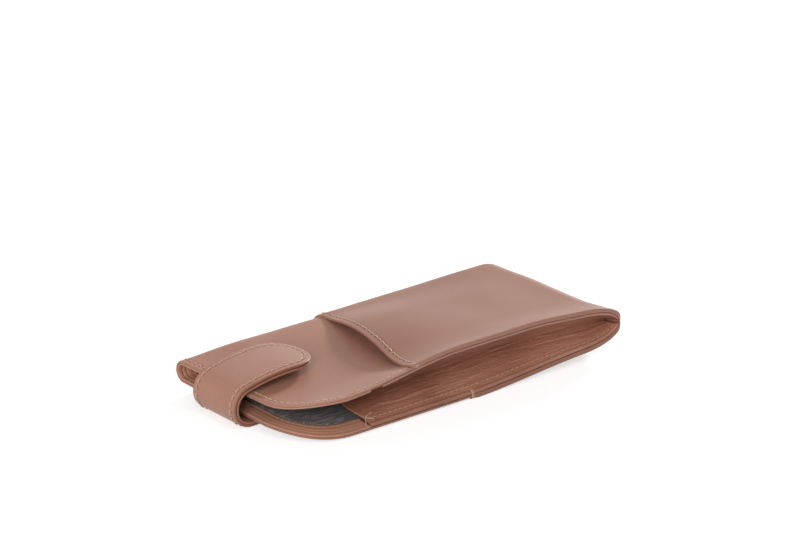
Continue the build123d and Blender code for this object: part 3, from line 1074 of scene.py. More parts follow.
@dataclass
class LineTree:
    """Geometry Nodes tree that dresses lines with thread."""

    material: bpy.types.Material
    name: str = "dressed_lines"
    thread: float = 0.42

    def inputs(self) -> dict[str, float]:
        """Named inputs of the tree.

        Returns:
            For each its value, in metres.
        """
        return {"Thread": self.thread * MM}

    def build(self) -> bpy.types.NodeTree:
        """Builds the tree.

        Returns:
            The tree, with its named inputs.
        """
        tree = bpy.data.node_groups.new(self.name, "GeometryNodeTree")
        face = tree.interface
        face.new_socket("Geometry", in_out="INPUT", socket_type="NodeSocketGeometry")
        for label, value in self.inputs().items():
            kind = "NodeSocketInt" if isinstance(value, int) else "NodeSocketFloat"
            face.new_socket(label, in_out="INPUT", socket_type=kind).default_value = value
        face.new_socket("Geometry", in_out="OUTPUT", socket_type="NodeSocketGeometry")
        given = add_node(tree, "NodeGroupInput").outputs
        line = add_node(tree, "GeometryNodeMeshToCurve", {"Mesh": given["Geometry"]})
        real = add_node(tree, "GeometryNodeRealizeInstances", {"Geometry": self.lay(tree, given, line)})
        dressed = add_node(tree, "GeometryNodeSetMaterial", {"Geometry": real, "Material": self.material})
        add_node(tree, "NodeGroupOutput", {0: dressed})
        return tree

    def lay(
        self, tree: bpy.types.NodeTree, given: bpy.types.bpy_prop_collection, line: bpy.types.Node
    ) -> bpy.types.Node:
        """Adds the nodes that lay thread along the line.

        Args:
            tree: the tree.
            given: outputs of the group's input.
            line: node that gives the line as a curve.

        Returns:
            The node that gives the laid thread.
        """
        raise NotImplementedError


@dataclass
class ThreadTree(LineTree):
    """Geometry Nodes tree that runs a thread along lines."""

    name: str = "threads_along_lines"

    def lay(
        self, tree: bpy.types.NodeTree, given: bpy.types.bpy_prop_collection, line: bpy.types.Node
    ) -> bpy.types.Node:
        """Adds the nodes of a running thread.

        Args:
            tree: the tree.
            given: outputs of the group's input.
            line: node that gives the line as a curve.

        Returns:
            The node that gives the laid thread.
        """
        radius = add_node(tree, "ShaderNodeMath", {0: given["Thread"], 1: 0.5}, MULTIPLY)
        ring = add_node(tree, "GeometryNodeCurvePrimitiveCircle", {"Resolution": 8, "Radius": radius})
        sizes = {"Curve": line, "Profile Curve": ring, "Fill Caps": True}
        return add_node(tree, "GeometryNodeCurveToMesh", sizes)


@dataclass
class StitchTree(LineTree):
    """Geometry Nodes tree that lays stitches along lines."""

    name: str = "stitches_along_lines"
    thread: float = 0.5
    pitch: float = 3.0
    length: float = 2.2
    bow: float = 1.3
    point_run: float = 0.16
    point_share: float = 0.35
    slant: float = 0.09
    seed: int = 7

    def inputs(self) -> dict[str, float]:
        """Named inputs of the tree.

        Returns:
            For each its value, in metres or radians, whole for the seed.
        """
        sizes = {"Pitch": self.pitch, "Length": self.length, "Thread": self.thread}
        return {**{label: size * MM for label, size in sizes.items()}, "Slant": self.slant, "Seed": self.seed}

    def lay(
        self, tree: bpy.types.NodeTree, given: bpy.types.bpy_prop_collection, line: bpy.types.Node
    ) -> bpy.types.Node:
        """Adds the nodes of bowed, slanted stitches.

        Args:
            tree: the tree.
            given: outputs of the group's input.
            line: node that gives the line as a curve.

        Returns:
            The node that gives the laid thread.
        """
        spread = add_node(
            tree, "GeometryNodeResampleCurve", {"Curve": line, "Length": given["Pitch"]}, {"mode": "LENGTH"}
        )
        spots = add_node(tree, "GeometryNodeCurveToPoints", {"Curve": spread}, {"mode": "EVALUATED"})
        back, ahead, crown, radius = (
            add_node(tree, "ShaderNodeMath", {0: given[label], 1: share}, MULTIPLY)
            for label, share in (("Length", -0.5), ("Length", 0.5), ("Thread", self.bow), ("Thread", 0.5))
        )
        start, end = (add_node(tree, "ShaderNodeCombineXYZ", {"X": place}) for place in (back, ahead))
        top = add_node(tree, "ShaderNodeCombineXYZ", {"Z": crown})
        bow = add_node(
            tree,
            "GeometryNodeCurveQuadraticBezier",
            {"Resolution": 6, "Start": start, "Middle": top, "End": end},
        )
        place = add_node(tree, "GeometryNodeSplineParameter")
        inside = add_node(tree, "ShaderNodeMath", {0: place, 1: 0.5}, {"operation": "PINGPONG"})
        ends = {"From Max": self.point_run, "To Min": self.point_share, "To Max": 1.0}
        full = add_node(tree, "ShaderNodeMapRange", {"Value": inside, **ends})
        thread = add_node(tree, "GeometryNodeSetCurveRadius", {"Curve": bow, "Radius": full})
        ring = add_node(tree, "GeometryNodeCurvePrimitiveCircle", {"Resolution": 6, "Radius": radius})
        sizes = {"Curve": thread, "Profile Curve": ring, "Fill Caps": True}
        stitch = add_node(tree, "GeometryNodeCurveToMesh", sizes)
        up = add_node(tree, "GeometryNodeInputNamedAttribute", {"Name": "up"}, {"data_type": "FLOAT_VECTOR"})
        along = add_node(
            tree, "FunctionNodeAlignRotationToVector", {"Vector": spots.outputs["Tangent"]}, {"axis": "X"}
        )
        upright = add_node(
            tree,
            "FunctionNodeAlignRotationToVector",
            {"Rotation": along, "Vector": up},
            {"axis": "Z", "pivot_axis": "X"},
        )
        slants = add_node(
            tree,
            "FunctionNodeRandomValue",
            {"Min": given["Slant"], "Max": 0.0, "Seed": given["Seed"]},
            {"data_type": "FLOAT"},
        )
        turn = add_node(tree, "ShaderNodeCombineXYZ", {"Z": slants.outputs[1]})
        slanted = add_node(
            tree,
            "FunctionNodeRotateRotation",
            {"Rotation": upright, "Rotate By": turn},
            {"rotation_space": "LOCAL"},
        )
        sizes = {"Points": spots, "Instance": stitch, "Rotation": slanted}
        return add_node(tree, "GeometryNodeInstanceOnPoints", sizes)


@dataclass
class Sewing:
    """Lays rows of stitches and makes each set one plain mesh."""

    tree: bpy.types.NodeTree
    tack_tree: bpy.types.NodeTree

    def sew(
        self, name: str, rows: Sequence[StitchRow], sizes: dict[str, float] | None = None, tacks: bool = False
    ) -> bpy.types.Object:
        """Lays stitches along rows, or runs a thread along each.

        Args:
            name: name of the piece.
            rows: the lines to follow.
            sizes: inputs of the tree to change, by name, in metres.
            tacks: True to run a thread along each line.

        Returns:
            The stitches as one mesh object.
        """
        guide = bpy.data.meshes.new(name + "_line")
        counts = [len(row.points) for row in rows]
        starts = np.cumsum([0] + counts).tolist()
        edges = [(a + i, a + i + 1) for a, count in zip(starts, counts) for i in range(count - 1)]
        guide.from_pydata(np.concatenate([row.points for row in rows]).tolist(), edges, [])
        ups = guide.attributes.new("up", "FLOAT_VECTOR", "POINT")
        ups.data.foreach_set("vector", np.concatenate([row.ups for row in rows]).astype(np.float32).ravel())
        holder = bpy.data.objects.new(name, guide)
        bpy.context.scene.collection.objects.link(holder)
        modifier = holder.modifiers.new("stitches", "NODES")
        modifier.node_group = self.tack_tree if tacks else self.tree
        for item in modifier.node_group.interface.items_tree:
            if item.in_out == "INPUT" and item.name in (sizes or {}):
                modifier[item.identifier] = sizes[item.name]
        bpy.context.view_layer.update()
        seen = holder.evaluated_get(bpy.context.evaluated_depsgraph_get())
        mesh = bpy.data.meshes.new_from_object(seen)
        mesh.name = name
        holder.modifiers.clear()
        holder.data = mesh
        bpy.data.meshes.remove(guide)
        mesh.polygons.foreach_set("use_smooth", np.ones(len(mesh.polygons), bool))
        return holder


# Strap


@dataclass
class Strap:
    """The strap: root under the back, bend round the mouth, tongue on the front."""

    form: CaseForm
    width: float = 27.0
    outer: float = 1.1
    core: float = 0.5
    backing: float = 1.0
    root_end: float = 42.0
    root_skive: float = 0.25
    loop_place: float = 0.5
    rise: float = 15.0
    lift: float = 3.8
    tongue_end: float = 37.0
    stud_place: float = 21.5
    rounding: float = 0.4
    seam_inset: float = 2.5
    groove: float = 0.22
    groove_width: float = 0.7
    pinch: float = 0.28
    pinch_run: tuple[float, float] = (0.5, 4.0)
    outer_pinch: float = 0.35
    middle_pinch: float = 0.5
    inner_pinch: float = 0.6
    core_part: tuple[float, float] = (0.3, 0.7)
    skive_start: float = 4.0
    worn_width: float = 0.5
    even_from: float = 6.0
    pitch: float = 0.9
    front_seam: float = 0.12
    back_seam: float = 0.22
    pressed: float = 0.5
    pressed_part: tuple[float, float] = (-2.0, 6.0)

    @property
    def y(self) -> float:
        """Place of the middle line across the case."""
        return self.form.middle_y

    @property
    def thickness(self) -> float:
        """Thickness of the whole strap."""
        return self.outer + self.core + self.backing + 2 * self.form.glue

    @property
    def crown(self) -> float:
        """Height of the tongue's outer face over the press stud."""
        tops, _ = self.form.heights(np.array([self.stud_place]))
        return float(tops[1][0]) - self.form.body_depth + self.lift + self.thickness

    @property
    def loop_radius(self) -> float:
        """Radius of the bend's outer face."""
        run = self.stud_place - self.loop_place
        return (self.crown - run * math.tan(math.radians(self.rise / 2))) / 2

    @property
    def tongue_radius(self) -> float:
        """Radius of the tongue's outer face."""
        return self.loop_radius + (self.stud_place - self.loop_place) / math.sin(math.radians(self.rise))

    @property
    def turn(self) -> float:
        """Angle that the bend turns through, in degrees."""
        return 180 - self.rise

    @property
    def root_run(self) -> float:
        """Length of the root up to the bend."""
        return self.root_end - self.loop_place

    @property
    def loop_run(self) -> float:
        """Length of the bend's outer face."""
        return self.loop_radius * math.radians(self.turn)

    @property
    def run(self) -> float:
        """Length of the whole strap on its outer face.

        Returns:
            The root, the bend and the tongue together.
        """
        reach = (self.tongue_end - self.stud_place) / self.tongue_radius
        tongue_run = self.tongue_radius * (math.radians(self.rise) + math.asin(reach))
        return self.root_run + self.loop_run + tongue_run

    @property
    def split(self) -> float:
        """Place where the two bodies of the bend part, at the middle of the bend."""
        return self.root_run + self.loop_run / 2

    def path(self, a: np.ndarray, v: np.ndarray, depth: np.ndarray) -> np.ndarray:
        """Points of the strap.

        Args:
            a: distance along the outer face from the root's end.
            v: distance across from the middle line.
            depth: depth under the outer face.

        Returns:
            Points in metres.
        """
        a, v, depth = np.broadcast_arrays(a, v, depth)
        past_root = a - self.root_run
        past_loop = past_root - self.loop_run
        loop_angle = math.radians(270) - past_root / self.loop_radius
        tongue_angle = math.radians(90 + self.rise) - past_loop / self.tongue_radius
        loop = self.loop_radius - depth
        long = self.tongue_radius - depth
        loop_x, tongue_x = (self.form.mouth_x + place for place in (self.loop_place, self.stud_place))
        tongue_z = self.crown - self.tongue_radius
        stretches = [past_root < 0, past_loop > 0]
        bend_x, bend_z = loop_x + loop * np.cos(loop_angle), self.loop_radius + loop * np.sin(loop_angle)
        x = np.select(stretches, [loop_x - past_root, tongue_x + long * np.cos(tongue_angle)], bend_x)
        z = np.select(stretches, [depth, tongue_z + long * np.sin(tongue_angle)], bend_z)
        return np.stack([x, self.y + v, z], axis=-1) * MM

    def grid(self, stretch: Stretch) -> tuple[np.ndarray, np.ndarray, np.ndarray]:
        """Lays a grid over a stretch of the strap, round its tip.

        Args:
            stretch: the stretch.

        Returns:
            Place along and across, and distance from the rim.
        """
        half = self.width / 2
        lower = stretch is Stretch.LOWER
        start, last = (0.0, self.split) if lower else (self.split, self.run - half)
        lines = rim_lines(self.seam_inset, self.even_from, self.rounding)
        edge = np.concatenate([lines, np.linspace(lines[-1], half, 6)[1:]])
        inward = np.concatenate([edge, edge[-2::-1]])[None, :]
        sign = np.concatenate([-np.ones(len(edge)), np.ones(len(edge) - 1)])[None, :]
        along = np.linspace(start, last, int((last - start) / self.pitch))
        if lower:
            along = np.concatenate([lines, along[along > lines[-1]]])
        to_tip = self.run - along
        if not lower:
            to_tip = np.concatenate([to_tip, edge[-2::-1]])
        to_tip = to_tip[:, None] * np.ones_like(inward)
        inward = inward * np.ones_like(to_tip)
        at_tip = np.clip((half - to_tip) / half, 0, None)
        inside, bent_tip, bent_inward = bend_corner(at_tip, (half - inward) / half, half)
        tip, inset = np.where(inside, bent_tip, to_tip), np.where(inside, bent_inward, inward)
        rim = np.minimum(to_tip, inward)
        if lower:
            rim = np.minimum(rim, self.run - to_tip)
        return self.run - tip, sign * (half - inset), rim

    def layer(self, which: Layer, stretch: Stretch) -> bpy.types.Object:
        """Builds a stretch of one layer.

        Args:
            which: the layer.
            stretch: the stretch.

        Returns:
            The layer as an object.
        """
        a, v, rim = self.grid(stretch)
        rounded = rounding(rim, self.rounding)
        groove = self.groove * hollow(rim, self.seam_inset, self.groove_width)
        pinch = self.pinch * (1 - ease(rim, *self.pinch_run))
        core_here = ease(a, *(self.root_run + share * self.loop_run for share in self.core_part))
        if which is Layer.OUTER:
            outside = rounded + groove + pinch * self.outer_pinch
            inside = self.outer - rounded * 0.5 + pinch * self.outer_pinch * core_here
        else:
            low = self.outer + self.form.glue + (self.core + self.form.glue) * core_here
            low = low - pinch * self.middle_pinch * core_here
            outside = low + rounded * 0.5
            skive = self.root_skive + (1 - self.root_skive) * ease(a, self.skive_start, self.root_run)
            full = low + self.backing * skive
            inside = full + (self.thickness - full) * core_here
            inside = inside - pinch * self.inner_pinch * core_here - rounded - groove
        outer = self.path(a, v, outside)
        inner = self.path(a, v, inside)
        flat = np.stack([a, v], axis=-1) * MM
        name = f"strap_{which.value}_{stretch.value}"
        piece = sheet_mesh(name, outer, inner, hollow(rim, 0.0, self.worn_width), flat)
        sharpen_row(piece, *outer.shape[:2], outer.shape[0] - 1 if stretch is Stretch.LOWER else 0)
        return piece

    def seam(self, stretch: Stretch, depth: float, out: float, pressed: float = 0.0) -> list[StitchRow]:
        """Stitch lines of a stretch, along both sides and round the tip.

        Args:
            stretch: the stretch.
            depth: depth of the line under the outer face.
            out: 1 if the stitches stand out of the outer face, -1 out of the backing.
            pressed: how much deeper the stitches lie where the strap rests on the ground.

        Returns:
            The stitch rows.
        """
        half = self.width / 2
        side = half - self.seam_inset
        if stretch is Stretch.LOWER:
            a = np.linspace(self.seam_inset, self.split, 160)
            lines = [(a, np.full_like(a, v)) for v in (-side, side)]
        else:
            straight = np.linspace(self.split, self.run - half, 120)
            turn = np.linspace(-QUARTER, QUARTER, 60)[1:-1]
            a = np.concatenate([straight, self.run - half + side * np.cos(turn), straight[::-1]])
            edge = np.full_like(straight, side)
            lines = [(a, np.concatenate([-edge, side * np.sin(turn), edge]))]
        ground = [self.root_run + place for place in self.pressed_part]
        rows = []
        for a, v in lines:
            depths = depth + pressed * (1 - ease(a, *ground))
            points = self.path(a, v, depths)
            rows.append(StitchRow(points, (self.path(a, v, depths - 1.0) - points) / MM * out))
        return rows

    def build(self, leathers: dict[Layer, bpy.types.Material], sewing: Sewing) -> None:
        """Builds the strap's leathers and threads and hides the solids they stand for.

        Args:
            leathers: the leather of each layer.
            sewing: lays the stitches.
        """
        centre = np.array([self.form.mouth_x + self.loop_place, self.y, self.loop_radius])
        middle = 270 - self.turn / 2
        angles = {Stretch.LOWER: (270.0, middle), Stretch.UPPER: (middle, 90 + self.rise)}
        nodes = {
            (Layer.OUTER, Stretch.LOWER): ["strap_root_leather"],
            (Layer.OUTER, Stretch.UPPER): ["strap_tongue_leather", "strap_bend_leather"],
            (Layer.BACKING, Stretch.LOWER): ["strap_root_backing"],
            (Layer.BACKING, Stretch.UPPER): ["strap_tongue_backing", "strap_bend_backing"],
        }
        for stretch in Stretch:
            for angle in angles[stretch]:
                out = np.array([math.cos(math.radians(angle)), 0, math.sin(math.radians(angle))])
                tuple((centre + self.loop_radius * out) * MM)
            for which in Layer:
                piece = self.layer(which, stretch)
                piece.data.materials.append(leathers[which])
                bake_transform(piece)
                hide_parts(*nodes[which, stretch])
                LOG.info("%s: %d faces", piece.name, len(piece.data.polygons))
            rows = self.seam(stretch, self.front_seam, 1.0, self.pressed)
            if stretch is Stretch.UPPER:
                rows += self.seam(stretch, self.thickness - self.back_seam, -1.0)
            stitches = sewing.sew(f"strap_stitches_{stretch.value}", rows)
            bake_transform(stitches)
            LOG.info("%s: %d faces", stitches.name, len(stitches.data.polygons))


# Gusset and facing


@dataclass
class Gusset:
    """Leather strip folded inwards in a V between the near edges of the two panels."""

    form: CaseForm
    upper_flange: float = 0.4
    lower_flange: float = 1.6
    depth: float = 16.0
    end_depth: float = 9.0
    thickness: float = 0.9
    clearance: float = 0.12
    band: float = 1.7
    upper_band: float = 1.1
    upper_bow: float = 2.0
    lower_bow: float = 1.15
    valley_thin: float = 0.3
    valley_lean: float = 0.9
    edge_round: float = 0.45
    groove: float = 0.14
    groove_width: float = 0.3
    groove_places: tuple[float, ...] = (1.9, 4.7)
    seam_place: float = 3.3
    seam_ends: float = 1.5
    seam_sunk: float = 0.04
    slant: float = 6.0
    slant_part: tuple[float, float] = (0.5, 0.92)
    lead: float = 3.0
    lead_part: tuple[float, float] = (0.15, 0.8)
    slant_run: float = 40.0
    turn: float = 7.3
    creases: int = 230
    long_creases: int = 51
    long_reach: tuple[float, float] = (6.0, 24.0)
    long_width: tuple[float, float] = (0.02, 0.05)
    short_reach: tuple[float, float] = (2.0, 7.0)
    short_width: tuple[float, float] = (0.012, 0.025)
    crease_part: tuple[float, float] = (-0.5, 0.7)
    crease_height: tuple[float, float] = (-0.3, 0.36)
    drift: float = 0.035
    drift_run: tuple[float, float] = (3.0, 11.0)
    seed: int = 11
    flat_leg: float = 20.0
    wrap_proud: float = 0.08
    wrap_out: float = 0.3
    wrap_least: float = 0.22

    @property
    def start(self) -> float:
        """Place where the strip starts."""
        return self.form.gusset_start

    @property
    def last(self) -> float:
        """Place where the strip ends."""
        return self.form.nose_start + self.turn

    def section(self, place: np.ndarray, t: np.ndarray, under: np.ndarray) -> np.ndarray:
        """Points of the folded strip.

        Args:
            place: distance from the mouth.
            t: across the strip: -1 at the upper edge, 0 in the valley, 1 at the lower edge.
            under: distance under the strip's visible face.

        Returns:
            Points in metres.
        """
        form = self.form
        place, t, under = np.broadcast_arrays(place, t, under)
        cut = form.end_cut(place)
        taper = ease(place, form.nose_start - form.end_taper, form.nose_start)
        deep = self.depth - (self.depth - self.end_depth) * taper
        inward = cut + (deep - cut) * (1 - np.abs(t))
        upper = self.panel(place, inward, Side.FRONT)
        lower = self.panel(place, inward, Side.BACK)
        middle = (upper + lower) / 2
        flat = np.where(t < 0, self.upper_flange, self.lower_flange)
        fold = np.clip((inward - cut - flat) / np.maximum(deep - cut - flat, 1e-6), 0, 1)
        bowed = fold ** np.where(t < 0, self.upper_bow, self.lower_bow)
        visible_top = upper - self.upper_band + (middle - upper + self.upper_band) * bowed
        visible_low = lower + self.band + (middle - lower - self.band) * bowed
        steep = under * (1 - self.valley_thin * fold)
        z = np.where(t < 0, visible_top + steep, visible_low - steep)
        y = form.near_y + inward + under * self.valley_lean * fold
        return np.stack([form.mouth_x + place, y, z], axis=-1) * MM

    def panel(self, place: np.ndarray, inward: np.ndarray, side: Side) -> np.ndarray:
        """Height of the inner face of a panel.

        Args:
            place: distance from the mouth.
            inward: distance from the near edge.
            side: the panel.

        Returns:
            Heights in millimetres.
        """
        form = self.form
        reach = (place - form.nose_start) / (form.nose_round - form.layer_depth)
        nose = np.arcsin(np.clip(reach, 0, 0.999))
        u = np.where(place > form.nose_start, form.nose_start + form.nose_round * nose, place)
        q = form.across(u, inward, side.value)
        return form.point(u, q, np.full_like(u, form.layer_depth + self.clearance))[..., 2] / MM

    def wrinkles(self, place: np.ndarray, t: np.ndarray) -> np.ndarray:
        """Lengthwise creases of the folded leather, long ones first.

        Args:
            place: distance from the mouth.
            t: across the strip.

        Returns:
            Relief of the visible face.
        """
        random = np.random.default_rng(self.seed)
        relief = np.zeros_like(place)
        for number in range(self.creases):
            long = number < self.long_creases
            centre = random.uniform(*self.crease_part)
            middle = random.uniform(self.start, self.form.length)
            reach = random.uniform(*(self.long_reach if long else self.short_reach))
            width = random.uniform(*(self.long_width if long else self.short_width))
            height = random.uniform(*self.crease_height)
            phase = random.uniform(0, 6.28)
            drift = self.drift * np.sin(place / random.uniform(*self.drift_run) + phase)
            relief += height * hollow(t, centre + drift, width) * hollow(place, middle, reach)
        return relief * ease(1 - np.abs(t), 0.25, 0.4)

    def seam(self) -> StitchRow:
        """Stitch line along the lower flange.

        Returns:
            The stitch row.
        """
        place = np.linspace(self.start + self.seam_ends, self.last - self.seam_ends, 240)
        t = np.full_like(place, 1 - self.seam_place / self.depth)
        points = self.section(place, t, np.full_like(place, self.seam_sunk))
        return StitchRow(points, np.tile([0.0, -0.35, 1.0], (len(place), 1)))

    def tack(self, places: Sequence[tuple[float, float, float]]) -> StitchRow:
        """Thread over the lower flange's raw end.

        Args:
            places: distance from the mouth, distance in from the edge and depth of each point.

        Returns:
            The thread's line.
        """
        place, inward, under = np.array(places).T
        points = self.section(place, 1 - inward / self.depth, under)
        return StitchRow(points, np.tile([0.0, 0.0, 1.0], (len(points), 1)))

    def wrap(self, place: float, side: Side, reach: float, over: bool = True) -> StitchRow:
        """Thread round the near edge, from a panel's outer face.

        Args:
            place: distance from the mouth.
            side: the panel.
            reach: how far it runs in from the edge.
            over: True to run on over the strip's visible face.

        Returns:
            The thread's line.
        """
        form = self.form
        inward = np.linspace(reach, 0.5, 5)
        u = np.full_like(inward, place)
        proud = np.full_like(inward, -self.wrap_proud)
        outside = form.point(u, form.across(u, inward, side.value), proud)
        inside = self.section(u, -side.value * (1 - inward[::-1] / self.depth), proud)
        turn = np.linspace(outside[-1], inside[0], 5)[1:-1]
        turn[:, 1] = (form.near_y - self.wrap_out) * MM
        points = np.concatenate([outside, turn, inside] if over else [outside, turn[:2]])
        points[:, 2] = np.maximum(points[:, 2], self.wrap_least * MM)
        return StitchRow(points, np.tile([0.0, 0.0, 1.0], (len(points), 1)))

    def build(self) -> bpy.types.Object:
        """Builds the strip as one closed mesh.

        Returns:
            The gusset as an object.
        """
        place = np.concatenate([[0, 0.15, 0.5], np.linspace(1.2, self.last - self.start, 200)]) + self.start
        edge = np.concatenate([[0, 0.002, 0.006, 0.0125, 0.02, 0.03], np.linspace(0.04, 1, 90)])
        t = np.concatenate([-1 + edge, (1 - edge[:-1])[::-1]])
        place, t = np.meshgrid(place, t, indexing="ij")
        share = 1 - np.abs(t)
        raw = hollow(share, 0.0, 0.02) * (t < 0)
        fading = 1 - ease(place, self.start, self.start + self.slant_run)
        slant = self.slant * ease(-t, *self.slant_part) - self.lead * ease(share, *self.lead_part)
        place = place + fading * slant
        inward = share * self.depth
        relief = self.wrinkles(place, t)
        for groove in self.groove_places:
            relief = relief - self.groove * hollow(inward, groove, self.groove_width) * (t > 0)
        rounded = rounding(inward, self.edge_round)
        visible = self.section(place, t, rounded - relief)
        band = np.where(t < 0, self.upper_band, self.band)
        padding = (band - self.thickness - 0.05) * (1 - ease(share, 0.0, 0.3))
        hidden = self.section(place, t, self.thickness + padding - rounded)
        flat = np.stack([place, t * self.flat_leg], axis=-1) * MM
        faces = (grid[:, ::-1] for grid in (hidden, visible, raw, flat))
        return sheet_mesh("gusset_strip", *faces)


@dataclass
class Facing:
    """Leather band inside the edge of the mouth, from one end of the gusset to the other."""

    form: CaseForm
    width: float = 8.0
    rounding: float = 0.3
    even_from: float = 0.7
    worn_width: float = 0.4
    groove: float = 0.3
    groove_width: float = 0.3
    groove_places: tuple[float, ...] = (2.2, 4.0, 6.6)

    def path(self, rim: np.ndarray) -> tuple[np.ndarray, np.ndarray]:
        """Runs along the mouth's outline at a distance from it.

        Args:
            rim: distances from the outline.

        Returns:
            The developed coordinates u and q, with the run first and the distances last.
        """
        form = self.form
        radius = form.mouth_corner
        run = form.panel_run
        rim = rim[None, :]
        one = np.ones_like(rim)
        edge = np.linspace(form.gusset_start - form.glue, radius, 14)[:, None]
        turn = np.linspace(0, QUARTER, 26)[1:-1, None]
        mouth = np.linspace(radius, run, 40)[:, None]
        fold = np.linspace(0, 1, 20)[1:-1, None]
        arc = radius - rim
        u = np.concatenate([edge * one, radius - arc * np.sin(turn), rim * np.ones_like(mouth)])
        inward = np.concatenate([rim * np.ones_like(edge), radius - arc * np.cos(turn), mouth * one])
        share = inward / run
        fold_u = rim * np.ones_like(fold)
        return np.concatenate([u, fold_u, u[::-1]]), np.concatenate([share, 1 + fold * one, 3 - share[::-1]])

    def build(self) -> bpy.types.Object:
        """Builds the band as one closed mesh.

        Returns:
            The facing as an object.
        """
        form = self.form
        rounded = self.rounding * (1 - np.cos(np.linspace(0, QUARTER, 5)))
        even = np.linspace(self.even_from, self.width - self.even_from, 34)
        rim = np.concatenate([rounded, even, self.width - rounded[::-1]])
        u, q = self.path(rim)
        to_edge = np.minimum(rim, self.width - rim)[None, :] * np.ones_like(u)
        lowering = rounding(to_edge, self.rounding)
        lines = (hollow(rim, place, self.groove_width) for place in self.groove_places)
        grooves = self.groove * sum(lines)[None, :]
        outer = form.point(u, q, form.layer_depth + lowering)
        inner = form.point(u, q, form.layer_depth + form.facing - lowering - grooves)
        raw = hollow(rim, 0.0, self.worn_width)[None, :] * np.ones_like(u)
        flat = np.stack([u, q * form.flat_panel], axis=-1) * MM
        return sheet_mesh("mouth_facing_band", outer[::-1], inner[::-1], raw[::-1], flat[::-1])


# The whole case


